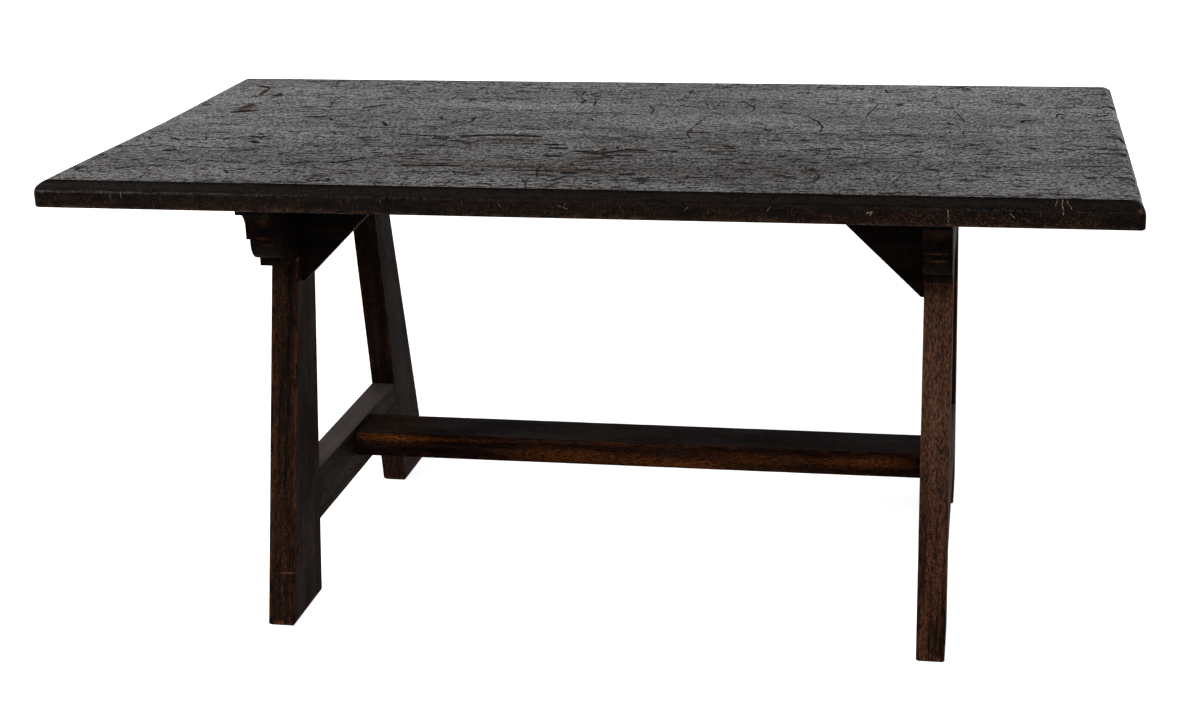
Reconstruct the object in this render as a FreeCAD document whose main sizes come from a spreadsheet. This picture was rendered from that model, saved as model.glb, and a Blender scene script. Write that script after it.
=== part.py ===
import FreeCAD, Part
import os
import Sketcher

# A trestle dining table in dark stained hardwood. Two trestles of splayed plank legs stand
# under a thick top of two boards. Each trestle has a moulded bearer under the top and a low
# rail between its legs, and one flat stretcher joins the two rails.
#
# Frame: +X along the top, +Y to the rear long side, +Z up, millimetres. The origin is on
# the floor below the middle of the top.

VECTOR = FreeCAD.Vector
LEFT, RIGHT = -1, 1
FRONT, REAR = -1, 1
SIDES = {"left": LEFT, "right": RIGHT}
ENDS = {"front": FRONT, "rear": REAR}

SIZES = [
    # the top
    ("table_height", 760, "floor to the surface of the top"),
    ("top_length", 1670, "along X, over the rounded ends"),
    ("top_width", 880, "along Y, over the moulded edges"),
    ("top_thickness", 40, "both boards"),
    ("joint_offset", -13, "Y of the glued joint between the two boards"),
    ("tongue_thickness", 10, "tongue on the front board's joint edge"),
    ("tongue_depth", 8, "how far the tongue enters the rear board"),
    ("tongue_stop", 60, "the tongue ends this far from the ends of the top"),
    ("tongue_clearance", 0.2, "groove over tongue, on each face"),
    ("groove_relief", 1, "groove deeper than the tongue"),
    ("end_round", 20, "upper edge of both ends"),
    # the moulded long edges of the top
    ("mould_inset", 22, "outer face to the arris of the flat surface"),
    ("mould_quirk", 2, "small upright step below that arris"),
    ("mould_slope", 25, "fall of the moulding's flat in degrees"),
    ("shoulder_radius", 10, "round shoulder above the upright face"),
    ("underside_round", 3, "worn lower edge of the top"),
    # the trestles
    ("trestle_spacing", 1058, "middle to middle along X"),
    ("trestle_shift", 14, "the base stands this far to +X of the middle of the top"),
    ("plank_thickness", 45, "legs, bearers and rails along X"),
    ("edge_round", 2, "worn long edges of legs, rails and stretcher"),
    # bearer, with the stages of its moulded ends named from the top down
    ("bearer_length", 744, "along Y"),
    ("bearer_height", 130, "underside of the top to the underside of the bearer"),
    ("nib_height", 24, "square end above the hollow"),
    ("nib_depth", 7, "square end beyond the hollow"),
    ("hollow_radius", 30, "concave quarter round"),
    ("neck_height", 19, "upright face below the hollow"),
    ("neck_step", 14.5, "step in below the neck"),
    ("band_height", 11, "upright face above the ovolo"),
    ("ovolo_radius", 30, "convex quarter round"),
    ("quirk_step", 4.5, "step in below the ovolo"),
    # legs
    ("foot_spread", 758, "over the outer edges of one trestle's feet"),
    ("foot_width", 136, "leg width along Y on the floor"),
    ("head_spread", 472, "over the outer edges of the legs under the bearer"),
    ("head_width", 81, "leg width along Y under the bearer"),
    ("foot_chamfer", 4, "broken lower edge of the feet"),
    # rails and stretcher
    ("rail_bottom", 125, "floor to the underside of the rail"),
    ("rail_height", 87, "along Z"),
    ("stretcher_bottom", 162, "floor to the underside of the stretcher"),
    ("stretcher_height", 44, "along Z"),
    ("stretcher_width", 93, "along Y"),
    ("stretcher_shift", 19, "Y of the middle of the stretcher"),
    # brackets
    ("bracket_spread", 450, "over the outer faces of one trestle's two brackets"),
    ("bracket_thickness", 30, "along Y"),
    ("bracket_drop", 172, "down the bearer and leg"),
    ("bracket_reach_left", 172, "along the top from the left trestle"),
    ("bracket_reach_right", 177, "along the top from the right trestle"),
    ("bracket_nose", 5, "blunt lower and outer tips"),
    # mortise and tenon joints
    ("tenon_thickness", 15, "leg and rail tenons along X"),
    ("head_tenon_length", 90, "leg into bearer"),
    ("head_tenon_inset", 10, "shoulder on each edge of the leg"),
    ("rail_tenon_length", 60, "rail into leg"),
    ("rail_tenon_inset", 13, "shoulder above and below the rail's tenon"),
    ("mortise_clearance", 0.2, "mortise over tenon, on each cheek and edge"),
    ("mortise_relief", 3, "mortise deeper than the tenon"),
    ("through_tenon_width", 62, "stretcher tenon along Y"),
    ("through_tenon_height", 24, "stretcher tenon along Z"),
    ("wedge_length", 32, "along X, from the rail's outer face"),
    ("wedge_thickness", 4, "at the rail's outer face"),
    ("wedge_tip", 1, "at the thin end"),
    ("wedge_spacing", 36, "between the two wedges of one tenon"),
    # pegs and dowels
    ("peg_diameter", 9, "riven eight-sided pegs, over the corners"),
    ("peg_length", 37, "from the outer face of the trestle"),
    ("peg_clearance", 0.1, "peg hole over peg, on the radius"),
    ("head_peg_low", 26, "lower peg above the underside of the bearer"),
    ("head_peg_high", 62, "upper peg above the underside of the bearer"),
    ("rail_peg_setback", 24, "from the rail's shoulder into the leg"),
    ("rail_peg_spacing", 34, "between the two pegs of a rail joint"),
    ("dowel_diameter", 10, "eight-sided dowels of the brackets, over the corners"),
    ("dowel_in_trestle", 20, "dowel depth in leg and bearer"),
    ("dowel_in_bracket", 18, "dowel depth in the bracket"),
    ("dowel_relief", 2, "dowel hole deeper than the dowel"),
    ("high_dowel_drop", 24, "upper dowel below the top"),
    ("low_dowel_rise", 22, "lower dowel above the bracket's nose"),
    # screws that hold the top down
    ("screw_diameter", 5, "shank"),
    ("screw_head_diameter", 10, "flat cheese head"),
    ("screw_head_height", 3, "along the screw"),
    ("screw_clearance", 0.2, "clearance hole over shank, on the radius"),
    ("screw_grip", 34, "wood between screw head and top"),
    ("screw_bite", 24, "thread in the top"),
    ("counterbore_diameter", 14, "deep pocket below a screw head"),
    ("bearer_screw_spread", 522, "between a bearer's two screws, one to each board"),
    ("bracket_screw_setback", 80, "bracket screw from the face of the bearer"),
    # working room
    ("overrun", 60, "how far saws and cutters run past the wood"),
]

# Places that several pieces share, as expressions on the sheet.
UNDER_TOP = "(Size.table_height - Size.top_thickness)"
UNDER_BEARER = f"({UNDER_TOP} - Size.bearer_height)"
HALF_PLANK = "(Size.plank_thickness / 2)"
HALF_FOOT = "(Size.foot_spread / 2)"
HALF_HEAD = "(Size.head_spread / 2)"
RAIL_TOP = "(Size.rail_bottom + Size.rail_height)"
STRETCHER_MIDDLE = "(Size.stretcher_bottom + Size.stretcher_height / 2)"
BRACKET_BOTTOM = f"({UNDER_TOP} - Size.bracket_drop)"
BRACKET_MIDDLE = "((Size.bracket_spread - Size.bracket_thickness) / 2)"
PEG_HOLE = "(Size.peg_diameter / 2 + Size.peg_clearance)"
DOWEL_RADIUS = "(Size.dowel_diameter / 2)"
HIGH_DOWEL = f"({UNDER_TOP} - Size.high_dowel_drop)"
LOW_DOWEL = f"({BRACKET_BOTTOM} + Size.low_dowel_rise)"

# The moulded long edges of the top: the flat falls from the quirk to a round shoulder, which it
# meets this far inside the outer face and this high. The upright face ends at the shoulder.
SHOULDER_INSET = "(Size.shoulder_radius * (1 - sin(Size.mould_slope)))"
FALL_END = ("(Size.table_height - Size.mould_quirk"
            f" - (Size.mould_inset - {SHOULDER_INSET}) * tan(Size.mould_slope))")
SHOULDER = f"({FALL_END} - Size.shoulder_radius * cos(Size.mould_slope))"

EIGHT_CORNERS = [22.5 + 45 * corner for corner in range(8)]

doc = FreeCAD.newDocument("trestle_table")


def make_sheet():
    """The spreadsheet that drives every sub-part."""
    sheet = doc.addObject("Spreadsheet::Sheet", "Size")
    for row, (alias, value, note) in enumerate(SIZES, start=1):
        sheet.set(f"A{row}", str(value))
        sheet.setAlias(f"A{row}", alias)
        sheet.set(f"B{row}", note)
    doc.recompute()
    return sheet


size = make_sheet()


def number(expression):
    """The present value of an expression on the sheet."""
    return float(size.evalExpression(expression))


def trestle_x(side):
    """Middle plane of a trestle."""
    return f"(Size.trestle_shift + {side} * Size.trestle_spacing / 2)"


def inner_face(side):
    """Face of a trestle that looks at the other trestle."""
    return f"({trestle_x(side)} - {side} * {HALF_PLANK})"


def outer_face(side):
    """Face of a trestle that looks away from the other trestle."""
    return f"({trestle_x(side)} + {side} * {HALF_PLANK})"


def leg_outer(height):
    """Distance from the middle plane to a leg's outer edge at a height."""
    return f"({HALF_FOOT} - ({HALF_FOOT} - {HALF_HEAD}) * ({height}) / {UNDER_BEARER})"


def leg_inner(height):
    """Distance from the middle plane to a leg's inner edge at a height."""
    foot = f"({HALF_FOOT} - Size.foot_width)"
    head = f"({HALF_HEAD} - Size.head_width)"
    return f"({foot} - ({foot} - {head}) * ({height}) / {UNDER_BEARER})"


# ---------------------------------------------------------------- sketch and feature helpers

def new_body(label):
    body = doc.addObject("PartDesign::Body", label)
    body.Label = label
    return body


def new_sketch(body, role, level="0"):
    """An empty sketch on a plane parallel to one of the body's own origin planes."""
    sketch = body.newObject("Sketcher::SketchObject", "Sketch")
    plane = next(item for item in body.Origin.OriginFeatures if item.Role == role)
    sketch.AttachmentSupport = (plane, [""])
    sketch.MapMode = "FlatFace"
    # the XZ plane looks along -Y, so a level along +Y is a negative offset
    sign = -1 if role == "XZ_Plane" else 1
    sketch.setExpression("AttachmentOffset.Base.z", f"{sign} * ({level})")
    return sketch


def hold(sketch, kind, geometry, point, expression):
    """Tie one coordinate of a sketch point to an expression."""
    index = sketch.addConstraint(
        Sketcher.Constraint(kind, -1, 1, geometry, point, number(expression)))
    sketch.setExpression(f"Constraints[{index}]", expression)


def arc_between(start, end, radius, turn):
    """The short arc from start to end; turn is +1 anticlockwise and -1 clockwise."""
    chord = end - start
    rise = max(radius ** 2 - (chord.Length / 2) ** 2, 0) ** 0.5
    across = VECTOR(-chord.y, chord.x, 0).normalize()
    centre = (start + end) / 2 + across * (rise * turn)
    circle = Part.Circle(centre, VECTOR(0, 0, 1), radius)
    first, last = (start, end) if turn > 0 else (end, start)
    return Part.ArcOfCircle(circle, circle.parameter(first), circle.parameter(last))


def outline(sketch, points):
    """A closed outline.

    Each point is (u, v) or (u, v, radius, turn), all expressions but the turn. The last two
    make the stretch that ends at the point an arc.
    """
    places = [VECTOR(number(point[0]), number(point[1]), 0) for point in points]
    pieces = []
    for index, point in enumerate(points):
        start, end = places[index - 1], places[index]
        if len(point) == 2:
            pieces.append((Part.LineSegment(start, end), 1, 2))
        else:
            ends = (1, 2) if point[3] > 0 else (2, 1)
            pieces.append((arc_between(start, end, number(point[2]), point[3]), *ends))
    ids = [sketch.addGeometry(piece[0], False) for piece in pieces]
    for index, point in enumerate(points):
        following = (index + 1) % len(points)
        end_point = pieces[index][2]
        sketch.addConstraint(Sketcher.Constraint(
            "Coincident", ids[index], end_point, ids[following], pieces[following][1]))
        hold(sketch, "DistanceX", ids[index], end_point, point[0])
        hold(sketch, "DistanceY", ids[index], end_point, point[1])
        if len(point) == 4:
            radius = sketch.addConstraint(
                Sketcher.Constraint("Radius", ids[index], number(point[2])))
            sketch.setExpression(f"Constraints[{radius}]", point[2])


def circles(sketch, centres, radius):
    """Circles of one radius at a list of (u, v) expressions."""
    for u, v in centres:
        circle = Part.Circle(VECTOR(number(u), number(v), 0), VECTOR(0, 0, 1), number(radius))
        index = sketch.addGeometry(circle, False)
        hold(sketch, "DistanceX", index, 3, u)
        hold(sketch, "DistanceY", index, 3, v)
        tied = sketch.addConstraint(Sketcher.Constraint("Radius", index, number(radius)))
        sketch.setExpression(f"Constraints[{tied}]", radius)


def eight_sided(sketch, centres, radius):
    """Eight-sided outlines, their corners at one radius round a list of (u, v) expressions."""
    for u, v in centres:
        outline(sketch, [(f"{u} + {radius} * cos({angle})", f"{v} + {radius} * sin({angle})")
                         for angle in EIGHT_CORNERS])


def pad(body, sketch, length, onward=True):
    """Add the sketch's outline, along its normal or against it."""
    feature = body.newObject("PartDesign::Pad", "Pad")
    feature.Profile = sketch
    feature.setExpression("Length", length)
    feature.Reversed = not onward
    doc.recompute()


def pocket(body, sketch, length, onward=True):
    """Cut the sketch's outline away, along its normal or against it."""
    before = body.Shape.Volume
    feature = body.newObject("PartDesign::Pocket", "Pocket")
    feature.Profile = sketch
    feature.setExpression("Length", length)
    feature.Reversed = onward
    doc.recompute()
    if body.Shape.Volume > before - 1e-3:
        raise RuntimeError(f"a pocket in {body.Label} cuts nothing")


def round_long_edges(body, shortest):
    """Round every edge of a plank that is longer than a length."""
    limit = number(shortest)
    names = [f"Edge{index}" for index, edge in enumerate(body.Shape.Edges, start=1)
             if edge.Length > limit]
    base = body.Tip
    feature = body.newObject("PartDesign::Fillet", "Fillet")
    feature.Base = (base, names)
    feature.setExpression("Radius", "Size.edge_round")
    doc.recompute()


def slab(body, side, thickness, outline_points, cut=False):
    """Add or cut a plate across X, centred on a trestle's middle plane."""
    sketch = new_sketch(body, "YZ_Plane", f"{trestle_x(side)} - ({thickness}) / 2")
    outline(sketch, outline_points)
    (pocket if cut else pad)(body, sketch, thickness)


def sockets(body, level, onward, places, radius, depth):
    """Eight-sided blind holes along X, from a level onward or back."""
    sketch = new_sketch(body, "YZ_Plane", level)
    eight_sided(sketch, places, radius)
    pocket(body, sketch, depth, onward)


def screw_holes(body, bottom, height, places):
    """Clearance holes up through a piece, with deep pockets for the screw heads."""
    heads = new_sketch(body, "XY_Plane", bottom)
    circles(heads, places, "Size.counterbore_diameter / 2")
    pocket(body, heads, f"{height} - Size.screw_grip")
    shanks = new_sketch(body, "XY_Plane", bottom)
    circles(shanks, places, "Size.screw_diameter / 2 + Size.screw_clearance")
    pocket(body, shanks, height)


# ------------------------------------------------------------------------------ the top

def long_edge(side):
    """One long side of the top's section, from the underside up to the flat surface."""
    half = "(Size.top_width / 2)"
    return [
        (f"{side} * ({half} - Size.underside_round)", UNDER_TOP),
        (f"{side} * {half}", f"{UNDER_TOP} + Size.underside_round",
         "Size.underside_round", side),
        (f"{side} * {half}", SHOULDER),
        (f"{side} * ({half} - {SHOULDER_INSET})", FALL_END, "Size.shoulder_radius", side),
        (f"{side} * ({half} - Size.mould_inset)", "Size.table_height - Size.mould_quirk"),
        (f"{side} * ({half} - Size.mould_inset)", "Size.table_height"),
    ]


def upper_end_waste(side):
    """What the plane takes off the upper edge of one end of the top, on the XZ plane."""
    half = "(Size.top_length / 2)"
    inner = f"{side} * ({half} - Size.end_round)"
    beyond = f"{side} * ({half} + Size.overrun)"
    round_start = "Size.table_height - Size.end_round"
    above = "Size.table_height + Size.overrun"
    return [
        (beyond, round_start),
        (f"{side} * {half}", round_start),
        (inner, "Size.table_height", "Size.end_round", side),
        (inner, above),
        (beyond, above),
    ]


def lower_end_waste(side):
    """What wear has taken off the lower edge of one end of the top, on the XZ plane."""
    half = "(Size.top_length / 2)"
    inner = f"{side} * ({half} - Size.underside_round)"
    beyond = f"{side} * ({half} + Size.overrun)"
    round_top = f"{UNDER_TOP} + Size.underside_round"
    below = f"{UNDER_TOP} - Size.overrun"
    return [
        (inner, UNDER_TOP),
        (f"{side} * {half}", round_top, "Size.underside_round", side),
        (beyond, round_top),
        (beyond, below),
        (inner, below),
    ]


def tongue_or_groove(body, cut, clearance, depth):
    """The front board's tongue, or cut into the rear board the groove that it enters."""
    start = f"(Size.top_length / 2 - Size.tongue_stop + {clearance})"
    sketch = new_sketch(body, "YZ_Plane", f"-1 * {start}")
    middle = f"({UNDER_TOP} + Size.top_thickness / 2)"
    half = f"(Size.tongue_thickness / 2 + {clearance})"
    outline(sketch, [
        ("Size.joint_offset", f"{middle} - {half}"),
        (f"Size.joint_offset + {depth}", f"{middle} - {half}"),
        (f"Size.joint_offset + {depth}", f"{middle} + {half}"),
        ("Size.joint_offset", f"{middle} + {half}"),
    ])
    (pocket if cut else pad)(body, sketch, f"2 * {start}")


def screw_places(side, end):
    """(x, y) of the two screws that hold one board to a trestle: bearer's, then bracket's."""
    return [
        (trestle_x(side), f"{end} * Size.bearer_screw_spread / 2"),
        (f"({inner_face(side)} - {side} * Size.bracket_screw_setback)", f"{end} * {BRACKET_MIDDLE}"),
    ]


def top_board(name, side):
    """One of the two long boards, moulded on its long edge and rounded at both ends."""
    body = new_body(f"top_board_{name}")
    section = new_sketch(body, "YZ_Plane", "-Size.top_length / 2")
    outline(section, [
        *long_edge(side),
        ("Size.joint_offset", "Size.table_height"),
        ("Size.joint_offset", UNDER_TOP),
    ])
    pad(body, section, "Size.top_length")
    for end in (LEFT, RIGHT):
        for waste in (upper_end_waste(end), lower_end_waste(end)):
            cutter = new_sketch(body, "XZ_Plane", "Size.top_width")
            outline(cutter, waste)
            pocket(body, cutter, "2 * Size.top_width")
    if side == FRONT:
        tongue_or_groove(body, False, "0", "Size.tongue_depth")
    else:
        tongue_or_groove(body, True, "Size.tongue_clearance", "Size.tongue_depth + Size.groove_relief")
    pilots = new_sketch(body, "XY_Plane", UNDER_TOP)
    circles(pilots, screw_places(LEFT, side) + screw_places(RIGHT, side), "Size.screw_diameter / 2")
    pocket(body, pilots, "Size.screw_bite")
    return body


# ----------------------------------------------------------------------------- the bearers

def moulded_end(side):
    """The stepped end of a bearer from the top down: nib, hollow, neck, ovolo and block."""
    def out(*steps):
        return f"{side} * (Size.bearer_length / 2 - ({' + '.join(steps) or '0'}))"

    def down(*steps):
        return f"{UNDER_TOP} - ({' + '.join(steps) or '0'})"

    hollow = ("Size.nib_depth", "Size.hollow_radius")
    ovolo = (*hollow, "Size.neck_step")
    block = (*ovolo, "Size.ovolo_radius", "Size.quirk_step")
    to_neck = ("Size.nib_height", "Size.hollow_radius")
    to_band = (*to_neck, "Size.neck_height")
    to_ovolo = (*to_band, "Size.band_height")
    to_block = (*to_ovolo, "Size.ovolo_radius")
    return [
        (out(), down()),
        (out(), down("Size.nib_height")),
        (out("Size.nib_depth"), down("Size.nib_height")),
        (out(*hollow), down(*to_neck), "Size.hollow_radius", side),
        (out(*hollow), down(*to_band)),
        (out(*ovolo), down(*to_band)),
        (out(*ovolo), down(*to_ovolo)),
        (out(*ovolo, "Size.ovolo_radius"), down(*to_block), "Size.ovolo_radius", -side),
        (out(*block), down(*to_block)),
        (out(*block), UNDER_BEARER),
    ]


def walked_back(points):
    """The same outline walked the other way, each arc still on the stretch it belongs to."""
    turned = []
    for point, follower in zip(reversed(points), [(), *reversed(points)]):
        if len(follower) == 4:
            turned.append((*point[:2], follower[2], -follower[3]))
        else:
            turned.append(point[:2])
    return turned


def head_tenon(end, clearance, length):
    """Side view of a leg's head tenon, or with clearance of its mortise."""
    top = f"({UNDER_BEARER} + {length})"
    inset = f"(Size.head_tenon_inset - {clearance})"
    return [
        (f"{end} * ({leg_outer(UNDER_BEARER)} - {inset})", UNDER_BEARER),
        (f"{end} * ({leg_outer(top)} - {inset})", top),
        (f"{end} * ({leg_inner(top)} + {inset})", top),
        (f"{end} * ({leg_inner(UNDER_BEARER)} + {inset})", UNDER_BEARER),
    ]


def head_peg_places(end):
    """(y, z) of the two pegs through a leg's head tenon."""
    places = []
    for rise in ("Size.head_peg_low", "Size.head_peg_high"):
        height = f"({UNDER_BEARER} + {rise})"
        places.append((f"{end} * ({leg_outer(height)} + {leg_inner(height)}) / 2", height))
    return places


def bearer(name, side):
    """The rail under the top, with moulded ends, leg mortises and screw holes."""
    body = new_body(f"bearer_{name}")
    slab(body, side, "Size.plank_thickness",
         moulded_end(REAR) + walked_back(moulded_end(FRONT)))
    for end in (FRONT, REAR):
        slab(body, side, "Size.tenon_thickness + 2 * Size.mortise_clearance",
             head_tenon(end, "Size.mortise_clearance",
                        "(Size.head_tenon_length + Size.mortise_relief)"), cut=True)
    sockets(body, outer_face(side), side == LEFT, head_peg_places(FRONT) + head_peg_places(REAR),
            PEG_HOLE, "Size.peg_length")
    sockets(body, inner_face(side), side == RIGHT,
            [(f"{end} * {BRACKET_MIDDLE}", HIGH_DOWEL) for end in (FRONT, REAR)],
            DOWEL_RADIUS, "Size.dowel_in_trestle + Size.dowel_relief")
    screw_holes(body, UNDER_BEARER, "Size.bearer_height",
                [screw_places(side, end)[0] for end in (FRONT, REAR)])
    return body


# -------------------------------------------------------------------------------- the legs

def rail_tenon(end, clearance, length):
    """Side view of a rail's tenon, or with clearance of its mortise in the leg."""
    low = f"(Size.rail_bottom + Size.rail_tenon_inset - {clearance})"
    high = f"({RAIL_TOP} - Size.rail_tenon_inset + {clearance})"
    return [
        (f"{end} * {leg_inner(low)}", low),
        (f"{end} * ({leg_inner(low)} + {length})", low),
        (f"{end} * ({leg_inner(low)} + {length})", high),
        (f"{end} * {leg_inner(high)}", high),
    ]


def rail_peg_places(end):
    """(y, z) of the two pegs through a rail's tenon."""
    middle = "(Size.rail_bottom + Size.rail_height / 2)"
    places = []
    for step in (-1, 1):
        height = f"({middle} + {step} * Size.rail_peg_spacing / 2)"
        places.append((f"{end} * ({leg_inner(middle)} + Size.rail_peg_setback)", height))
    return places


def saw_level(body, side, level, upward):
    """Saw a trestle's plank off level, above or below a height."""
    saw = new_sketch(body, "XY_Plane", level)
    near = f"({trestle_x(side)} - Size.plank_thickness)"
    far = f"({trestle_x(side)} + Size.plank_thickness)"
    outline(saw, [
        (near, "-Size.foot_spread"),
        (far, "-Size.foot_spread"),
        (far, "Size.foot_spread"),
        (near, "Size.foot_spread"),
    ])
    pocket(body, saw, "2 * Size.overrun", onward=upward)


def corner_waste(corner, inward):
    """Section of what a chamfer takes off a lower corner, with some room outside it."""
    return [
        (f"{corner} + {inward} * 2 * Size.foot_chamfer", "-Size.foot_chamfer"),
        (f"{corner} - {inward} * Size.foot_chamfer", "2 * Size.foot_chamfer"),
        (f"{corner} - {inward} * Size.foot_chamfer", "-Size.foot_chamfer"),
    ]


def foot_chamfers(body, side, end):
    """Break the four lower edges of a foot."""
    toe = f"{end} * {HALF_FOOT}"
    heel = f"{end} * ({HALF_FOOT} - Size.foot_width)"
    edges = new_sketch(body, "YZ_Plane", f"{trestle_x(side)} - Size.plank_thickness")
    outline(edges, corner_waste(toe, -end))
    outline(edges, corner_waste(heel, end))
    pocket(body, edges, "2 * Size.plank_thickness")
    faces = new_sketch(body, "XZ_Plane", "Size.foot_spread")
    outline(faces, corner_waste(inner_face(side), side))
    outline(faces, corner_waste(outer_face(side), -side))
    pocket(body, faces, "2 * Size.foot_spread")


def leg(name, side, end):
    """A tapering plank leg with a tenon on its head."""
    body = new_body(f"leg_{name}")
    below, above = "(-Size.overrun)", f"({UNDER_BEARER} + Size.overrun)"
    slab(body, side, "Size.plank_thickness", [
        (f"{end} * {leg_outer(below)}", below),
        (f"{end} * {leg_outer(above)}", above),
        (f"{end} * {leg_inner(above)}", above),
        (f"{end} * {leg_inner(below)}", below),
    ])
    round_long_edges(body, UNDER_BEARER)
    saw_level(body, side, "0", upward=False)
    saw_level(body, side, UNDER_BEARER, upward=True)
    foot_chamfers(body, side, end)
    slab(body, side, "Size.tenon_thickness", head_tenon(end, "0", "Size.head_tenon_length"))
    slab(body, side, "Size.tenon_thickness + 2 * Size.mortise_clearance",
         rail_tenon(end, "Size.mortise_clearance",
                    "(Size.rail_tenon_length + Size.mortise_relief)"), cut=True)
    sockets(body, outer_face(side), side == LEFT, head_peg_places(end) + rail_peg_places(end),
            PEG_HOLE, "Size.peg_length")
    sockets(body, inner_face(side), side == RIGHT, [(f"{end} * {BRACKET_MIDDLE}", LOW_DOWEL)],
            DOWEL_RADIUS, "Size.dowel_in_trestle + Size.dowel_relief")
    return body


# -------------------------------------------------------------------- rails and stretcher

def through_tenon(clearance):
    """Section of the stretcher's tenon, or with clearance of its mortise in the rail."""
    half_width = f"(Size.through_tenon_width / 2 + {clearance})"
    half_height = f"(Size.through_tenon_height / 2 + {clearance})"
    return [
        (f"Size.stretcher_shift - {half_width}", f"{STRETCHER_MIDDLE} - {half_height}"),
        (f"Size.stretcher_shift + {half_width}", f"{STRETCHER_MIDDLE} - {half_height}"),
        (f"Size.stretcher_shift + {half_width}", f"{STRETCHER_MIDDLE} + {half_height}"),
        (f"Size.stretcher_shift - {half_width}", f"{STRETCHER_MIDDLE} + {half_height}"),
    ]


def shoulder_waste(end):
    """Side view of what comes off a rail's end to meet the sloping leg."""
    low, high = "(Size.rail_bottom - Size.edge_round)", f"({RAIL_TOP} + Size.edge_round)"
    beyond = f"({leg_inner('0')} + Size.overrun)"
    return [
        (f"{end} * {leg_inner(low)}", low),
        (f"{end} * {beyond}", low),
        (f"{end} * {beyond}", high),
        (f"{end} * {leg_inner(high)}", high),
    ]


def rail(name, side):
    """The low rail between a trestle's legs, its shoulders cut to the slope of the legs."""
    body = new_body(f"rail_{name}")
    beyond = f"({leg_inner('0')} + Size.overrun / 2)"
    slab(body, side, "Size.plank_thickness", [
        (f"-1 * {beyond}", "Size.rail_bottom"),
        (beyond, "Size.rail_bottom"),
        (beyond, RAIL_TOP),
        (f"-1 * {beyond}", RAIL_TOP),
    ])
    round_long_edges(body, "Size.rail_height")
    for end in (FRONT, REAR):
        slab(body, side, "2 * Size.plank_thickness", shoulder_waste(end), cut=True)
    for end in (FRONT, REAR):
        slab(body, side, "Size.tenon_thickness", rail_tenon(end, "0", "Size.rail_tenon_length"))
    slab(body, side, "Size.plank_thickness", through_tenon("Size.mortise_clearance"), cut=True)
    sockets(body, outer_face(side), side == LEFT, rail_peg_places(FRONT) + rail_peg_places(REAR),
            PEG_HOLE, "Size.peg_length")
    return body


def wedge_outline(side, place):
    """Plan of one wedge: thick at the rail's outer face and thin at its inner end."""
    middle = f"(Size.stretcher_shift + {place} * Size.wedge_spacing / 2)"
    tip = f"({outer_face(side)} - {side} * Size.wedge_length)"
    return [
        (outer_face(side), f"{middle} - Size.wedge_thickness / 2"),
        (outer_face(side), f"{middle} + Size.wedge_thickness / 2"),
        (tip, f"{middle} + Size.wedge_tip / 2"),
        (tip, f"{middle} - Size.wedge_tip / 2"),
    ]


def stretcher():
    """The flat board between the rails, its tenons right through them and wedged."""
    body = new_body("stretcher")
    board = new_sketch(body, "YZ_Plane", inner_face(LEFT))
    half = "Size.stretcher_width / 2"
    top = "Size.stretcher_bottom + Size.stretcher_height"
    outline(board, [
        (f"Size.stretcher_shift - {half}", "Size.stretcher_bottom"),
        (f"Size.stretcher_shift + {half}", "Size.stretcher_bottom"),
        (f"Size.stretcher_shift + {half}", top),
        (f"Size.stretcher_shift - {half}", top),
    ])
    pad(body, board, f"{inner_face(RIGHT)} - {inner_face(LEFT)}")
    round_long_edges(body, "Size.stretcher_width")
    tenon = new_sketch(body, "YZ_Plane", outer_face(LEFT))
    outline(tenon, through_tenon("0"))
    pad(body, tenon, f"{outer_face(RIGHT)} - {outer_face(LEFT)}")
    for side in (LEFT, RIGHT):
        for place in (-1, 1):
            kerf = new_sketch(body, "XY_Plane",
                              f"{STRETCHER_MIDDLE} - Size.through_tenon_height / 2")
            outline(kerf, wedge_outline(side, place))
            pocket(body, kerf, "Size.through_tenon_height")
    return body


def wedges(name, side):
    """The two wedges that spread one end of the stretcher in its rail."""
    body = new_body(f"stretcher_wedges_{name}")
    for place in (-1, 1):
        plan = new_sketch(body, "XY_Plane",
                          f"{STRETCHER_MIDDLE} - Size.through_tenon_height / 2")
        outline(plan, wedge_outline(side, place))
        pad(body, plan, "Size.through_tenon_height")
    return body


# ------------------------------------------------------------------------------ brackets

def bracket(name, side, end):
    """A triangular corner board between trestle and top."""
    body = new_body(f"bracket_{name}")
    face = inner_face(side)
    reach = "Size.bracket_reach_left" if side == LEFT else "Size.bracket_reach_right"
    tip = f"{face} - {side} * {reach}"
    sketch = new_sketch(body, "XZ_Plane", f"{end} * {BRACKET_MIDDLE} - Size.bracket_thickness / 2")
    outline(sketch, [
        (face, UNDER_TOP),
        (tip, UNDER_TOP),
        (tip, f"{UNDER_TOP} - Size.bracket_nose"),
        (f"{face} - {side} * Size.bracket_nose", BRACKET_BOTTOM),
        (face, BRACKET_BOTTOM),
    ])
    pad(body, sketch, "Size.bracket_thickness", onward=False)
    sockets(body, face, side == LEFT,
            [(f"{end} * {BRACKET_MIDDLE}", height) for height in (LOW_DOWEL, HIGH_DOWEL)],
            DOWEL_RADIUS, "Size.dowel_in_bracket + Size.dowel_relief")
    screw_holes(body, BRACKET_BOTTOM, "Size.bracket_drop", [screw_places(side, end)[1]])
    return body


# ------------------------------------------------------------- pegs, dowels and screws

def pins(label, level, onward, places, radius, length):
    """Eight-sided pegs or dowels along X, from a level onward or back."""
    body = new_body(label)
    sketch = new_sketch(body, "YZ_Plane", level)
    eight_sided(sketch, places, radius)
    pad(body, sketch, length, onward)
    return body


def pegs(label, side, places):
    """Pegs driven into a trestle from its outer face."""
    return pins(label, outer_face(side), side == LEFT, places,
                "Size.peg_diameter / 2", "Size.peg_length")


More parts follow.
